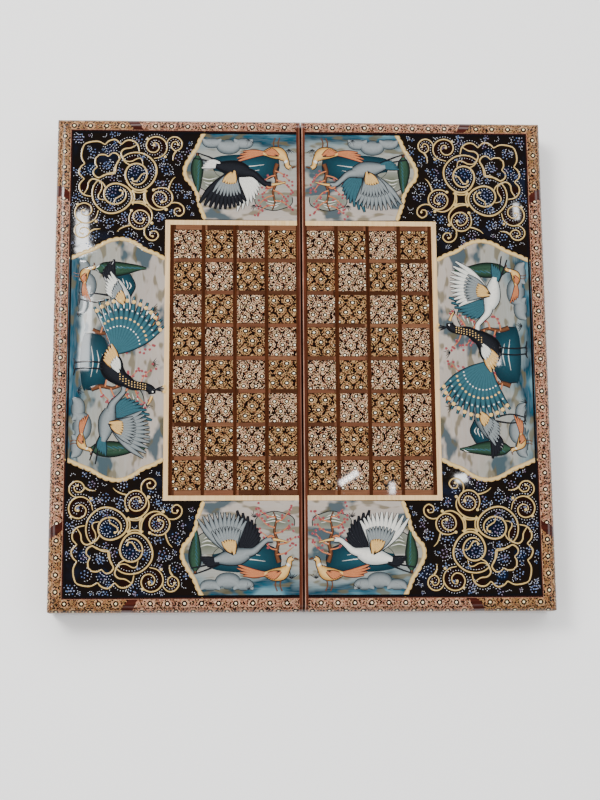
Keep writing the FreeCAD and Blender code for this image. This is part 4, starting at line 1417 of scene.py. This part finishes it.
def rocks(figure):
    """Rounded rocks in a row, lit from above."""
    for across, up, wide, tall in ((-20, 0, 20, 11), (-4, 2, 24, 15), (14, 0, 20, 10)):
        left, right = across - wide / 2, across + wide / 2
        crown = [(x, up + tall * 0.4, tall) for x in (left + wide * 0.25, right - wide * 0.25)]
        figure.limb([(left, up, 2), *crown, (right, up, 2)], GREY, 0.8)


# %% Placing the scenes
scenes = for_halves()
rng = np.random.default_rng(21)
HENS = (OCHRE, CORAL, CORAL)


def medallion(side, origin, turn, mirror=1):
    """What places a figure in a medallion, by its distance across and up from there."""

    def at(across, up, size=1.0, flip=1, level=BEHIND):
        spot = (across * mirror, up)
        return Figure(scenes[side], origin, turn, spot, size, flip * mirror, level)

    return at


def hills_and_ponds(at, *mounds):
    for number, (across, up, wide, tall, tones) in enumerate(mounds):
        mound(at(across, up, level=UNDER + HILL_STEP * number), wide, tall, tones)


def grass(at, *places):
    for across, up in places:
        tuft(at(across, up, 0.9))


def draw_side(side, standing, flying, proud):
    """The long scene at a side. Its ground is the box's outer edge."""
    at = medallion(side, (side * outer_x, 0.0), 90.0 * side)
    ponds = (4, 34, 60, 26, POND), (-74, 66, 30, 16, POND)
    hills_and_ponds(at, ponds[0], (-40, 62, 34, 20, MOSS), (44, 72, 40, 20, MOSS), ponds[1])
    cypress(at(-92, 40, 0.76))
    cypress(at(92, 38, 0.8))
    blossoms(at(-28, 40), rng)
    blossoms(at(32, 40, flip=-1), rng)
    rocks(at(-70, 26))
    rocks(at(74, 22, 1.1))
    crane(at(-64, 26, 1.0, 1, BEFORE), *standing)
    flying_crane(at(66, 17, 0.94, -1, BEFORE), *flying)
    peacock(at(5, 22, 1.10, 1, BEFORE + 0.08), *proud)
    for facing in (-1, 1):
        pheasant(at(84 * facing, 20, 0.62, facing, BEFORE), *HENS)
    grass(at, (-45, 24), (-20, 92), (-78, 64), (34, 26), (84, 80), (48, 94), (-50, 100), (6, 100))


def draw_end(side, end, *flying):
    """Half of the scene at an end, on one side of the seam."""
    at = medallion(side, (0.0, end * end_y), 0.0 if end < 0 else 180.0, -end * side)
    hills_and_ponds(at, (56, 44, 70, 26, POND), (28, 84, 40, 14, MOSS), (94, 60, 30, 18, MOSS))
    blossoms(at(24, 48, 0.92), rng)
    cypress(at(106, 38, 0.62))
    rocks(at(78, 22, 0.95))
    flying_crane(at(68, 14, 0.96, -1, BEFORE), *flying)
    pheasant(at(27, 20, 0.95, -1, BEFORE), *HENS)
    grass(at, (48, 92), (104, 84), (96, 24), (12, 32), (54, 22))


draw_side(-1, (WHITE, BLACK, OCHRE), (GREY, TEAL, OCHRE), (BLACK, TEAL, OCHRE))
draw_side(1, (GREY, BLACK, OCHRE), (WHITE, TEAL, OCHRE), (BLACK, TEAL, OCHRE))
draw_end(-1, -1, GREY, BLACK, OCHRE)
draw_end(1, -1, WHITE, BLACK, OCHRE)
draw_end(-1, 1, BLACK, WHITE, OCHRE)
draw_end(1, 1, GREY, TEAL, OCHRE)

# %% Making the painted layers
LAYERS = (
    ("medallions", ground_layers, scene_paint),
    ("scroll_shades", shade_paint, brushwork("shade_paint")),
    ("dotted_flowers", dot_paint, brushwork("dot_paint")),
    ("scenes", scenes, brushwork("scene_paint")),
    ("gold_scrolls", scroll_paint, brushwork("gold_paint")),
)
for side, half in zip(SIDES, ("left", "right")):
    for name, paints, finish in LAYERS:
        paints[side].make(f"{half}_{name}", finish, f"{half}_half", "lacquer_paint")

# %% [markdown]
# ## Backgammon side
#
# The inside of both trays is the backgammon board. Its field is plain veneer, the points
# are inlaid in a light and a dark wood, and a pale lining runs round inside the walls.
# There is no thick lacquer here, so the gloss is softer.

# %% Backgammon side
SATIN = 0.28
INSIDE_WOODS = (
    ("field_wood", "a9703f", "744521", "y", "tray_panel"),
    ("point_light", "efd7a6", "cfa86c", "x", "light_points"),
    ("point_dark", "5a2d1c", "2c130b", "x", "dark_points"),
    ("lining_wood", "cc9c62", "9a6a3a", "y", "tray_lining"),
    ("rim_wood", "6e3a20", "3c1c0e", "y", "rim_strips"),
)
for name, pale, dark, along, piece in INSIDE_WOODS:
    dress(wood(name, pale, dark, along, gloss=False).set(Roughness=SATIN), piece)
print(f"{len(INSIDE_WOODS)} woods inside the trays")

# %% [markdown]
# ## Metal
#
# Brass that has been handled is never one colour: it is duller where fingers don't reach.
# The roughness of the brass varies with the same noise as its colour.

# %% Brass and steel
def metal(name, bright, dull, low, high):
    """Metal between two colours, with its roughness between low and high."""
    finish = Finish(name, Metallic=1.0)
    patch = finish.noise(0.25, 4.0)
    fine = finish.noise(2.2, 2.0)
    tone = patch * 0.7 + fine * 0.3
    finish.feed("Base Color", finish.ramp(tone, "LINEAR", (0.35, dull), (0.65, bright)))
    finish.feed("Roughness", (1.0 - tone) * (high - low) + low)
    finish.bump(fine, 0.00003, 0.4)
    return finish


brass = metal("hinge_brass", "dcb668", "b88e4a", 0.2, 0.4)
dress(brass, "hinge_leaves")
dress(brass, "hinge_pins", halves=("",))
dress(metal("screw_brass", "c09a50", "96723a", 0.25, 0.45), "hinge_screws")
dress(metal("magnet_steel", "c8cbce", "8f9396", 0.15, 0.35), "rim_magnet")

# %% [markdown]
# ## Screw slots
#
# Each screw has a slot for the driver, and no two are turned alike. The head is flush
# with its leaf, so the slot is a sliver of dark metal that lies on it, with the slot's
# rounded ends. Its darkness is painted shade, for the shade down in a real slot. It is a grid of u
# along the slot and v across it.

# %% Screw slots
SLOT_LONG, SLOT_WIDE, SLOT_PROUD = 4.2, 0.8, 0.04
U_STEPS, V_STEPS = 13, 5
HEAD_DEEP = 0.4
SCREWS_APART = 5.0
# painted shade: the slot's dark colour stands in for the shade inside a real slot
slot_shade_finish = metal("slot_shadow", "4a3a20", "1c140a", 0.5, 0.8)
u, v = np.meshgrid(np.linspace(-1, 1, U_STEPS), np.linspace(-1, 1, V_STEPS), indexing="ij")
u, v = u.ravel(), v.ravel()
along = u * SLOT_LONG / 2
across = v * SLOT_WIDE / 2 * np.sqrt(np.maximum(1 - u**8, 0.0))
faces = grid_faces(U_STEPS, V_STEPS)[:, [0, 3, 2, 1]]
for half in ("left", "right"):
    mesh = nodes[f"{half}_hinge_screws"].data
    points = np.empty(len(mesh.vertices) * 3)
    mesh.vertices.foreach_get("co", points)
    points = points.reshape(-1, 3) * MM
    heads = points[points[:, 2] < points[:, 2].min() + HEAD_DEEP]
    heads = heads[np.argsort(heads[:, 1])]
    groups = np.split(heads, np.flatnonzero(np.diff(heads[:, 1]) > SCREWS_APART) + 1)
    slots = Paint()
    for number, group in enumerate(groups):
        middle = (group.min(axis=0) + group.max(axis=0)) / 2
        turn = math.radians(25 + 67 * number)
        x = middle[0] + along * math.cos(turn) - across * math.sin(turn)
        y = middle[1] + along * math.sin(turn) + across * math.cos(turn)
        z = group[:, 2].min() - SLOT_PROUD * (1 - v**2)
        slots.add(np.stack([x, y, z], axis=1), faces, np.ones((len(x), 3)))
        print(f"{half} screw {number + 1}: head {np.ptp(group[:, 0]):.1f} mm across")
    slots.make(f"{half}_screw_slots", slot_shade_finish, f"{half}_half", "hinge_brass")
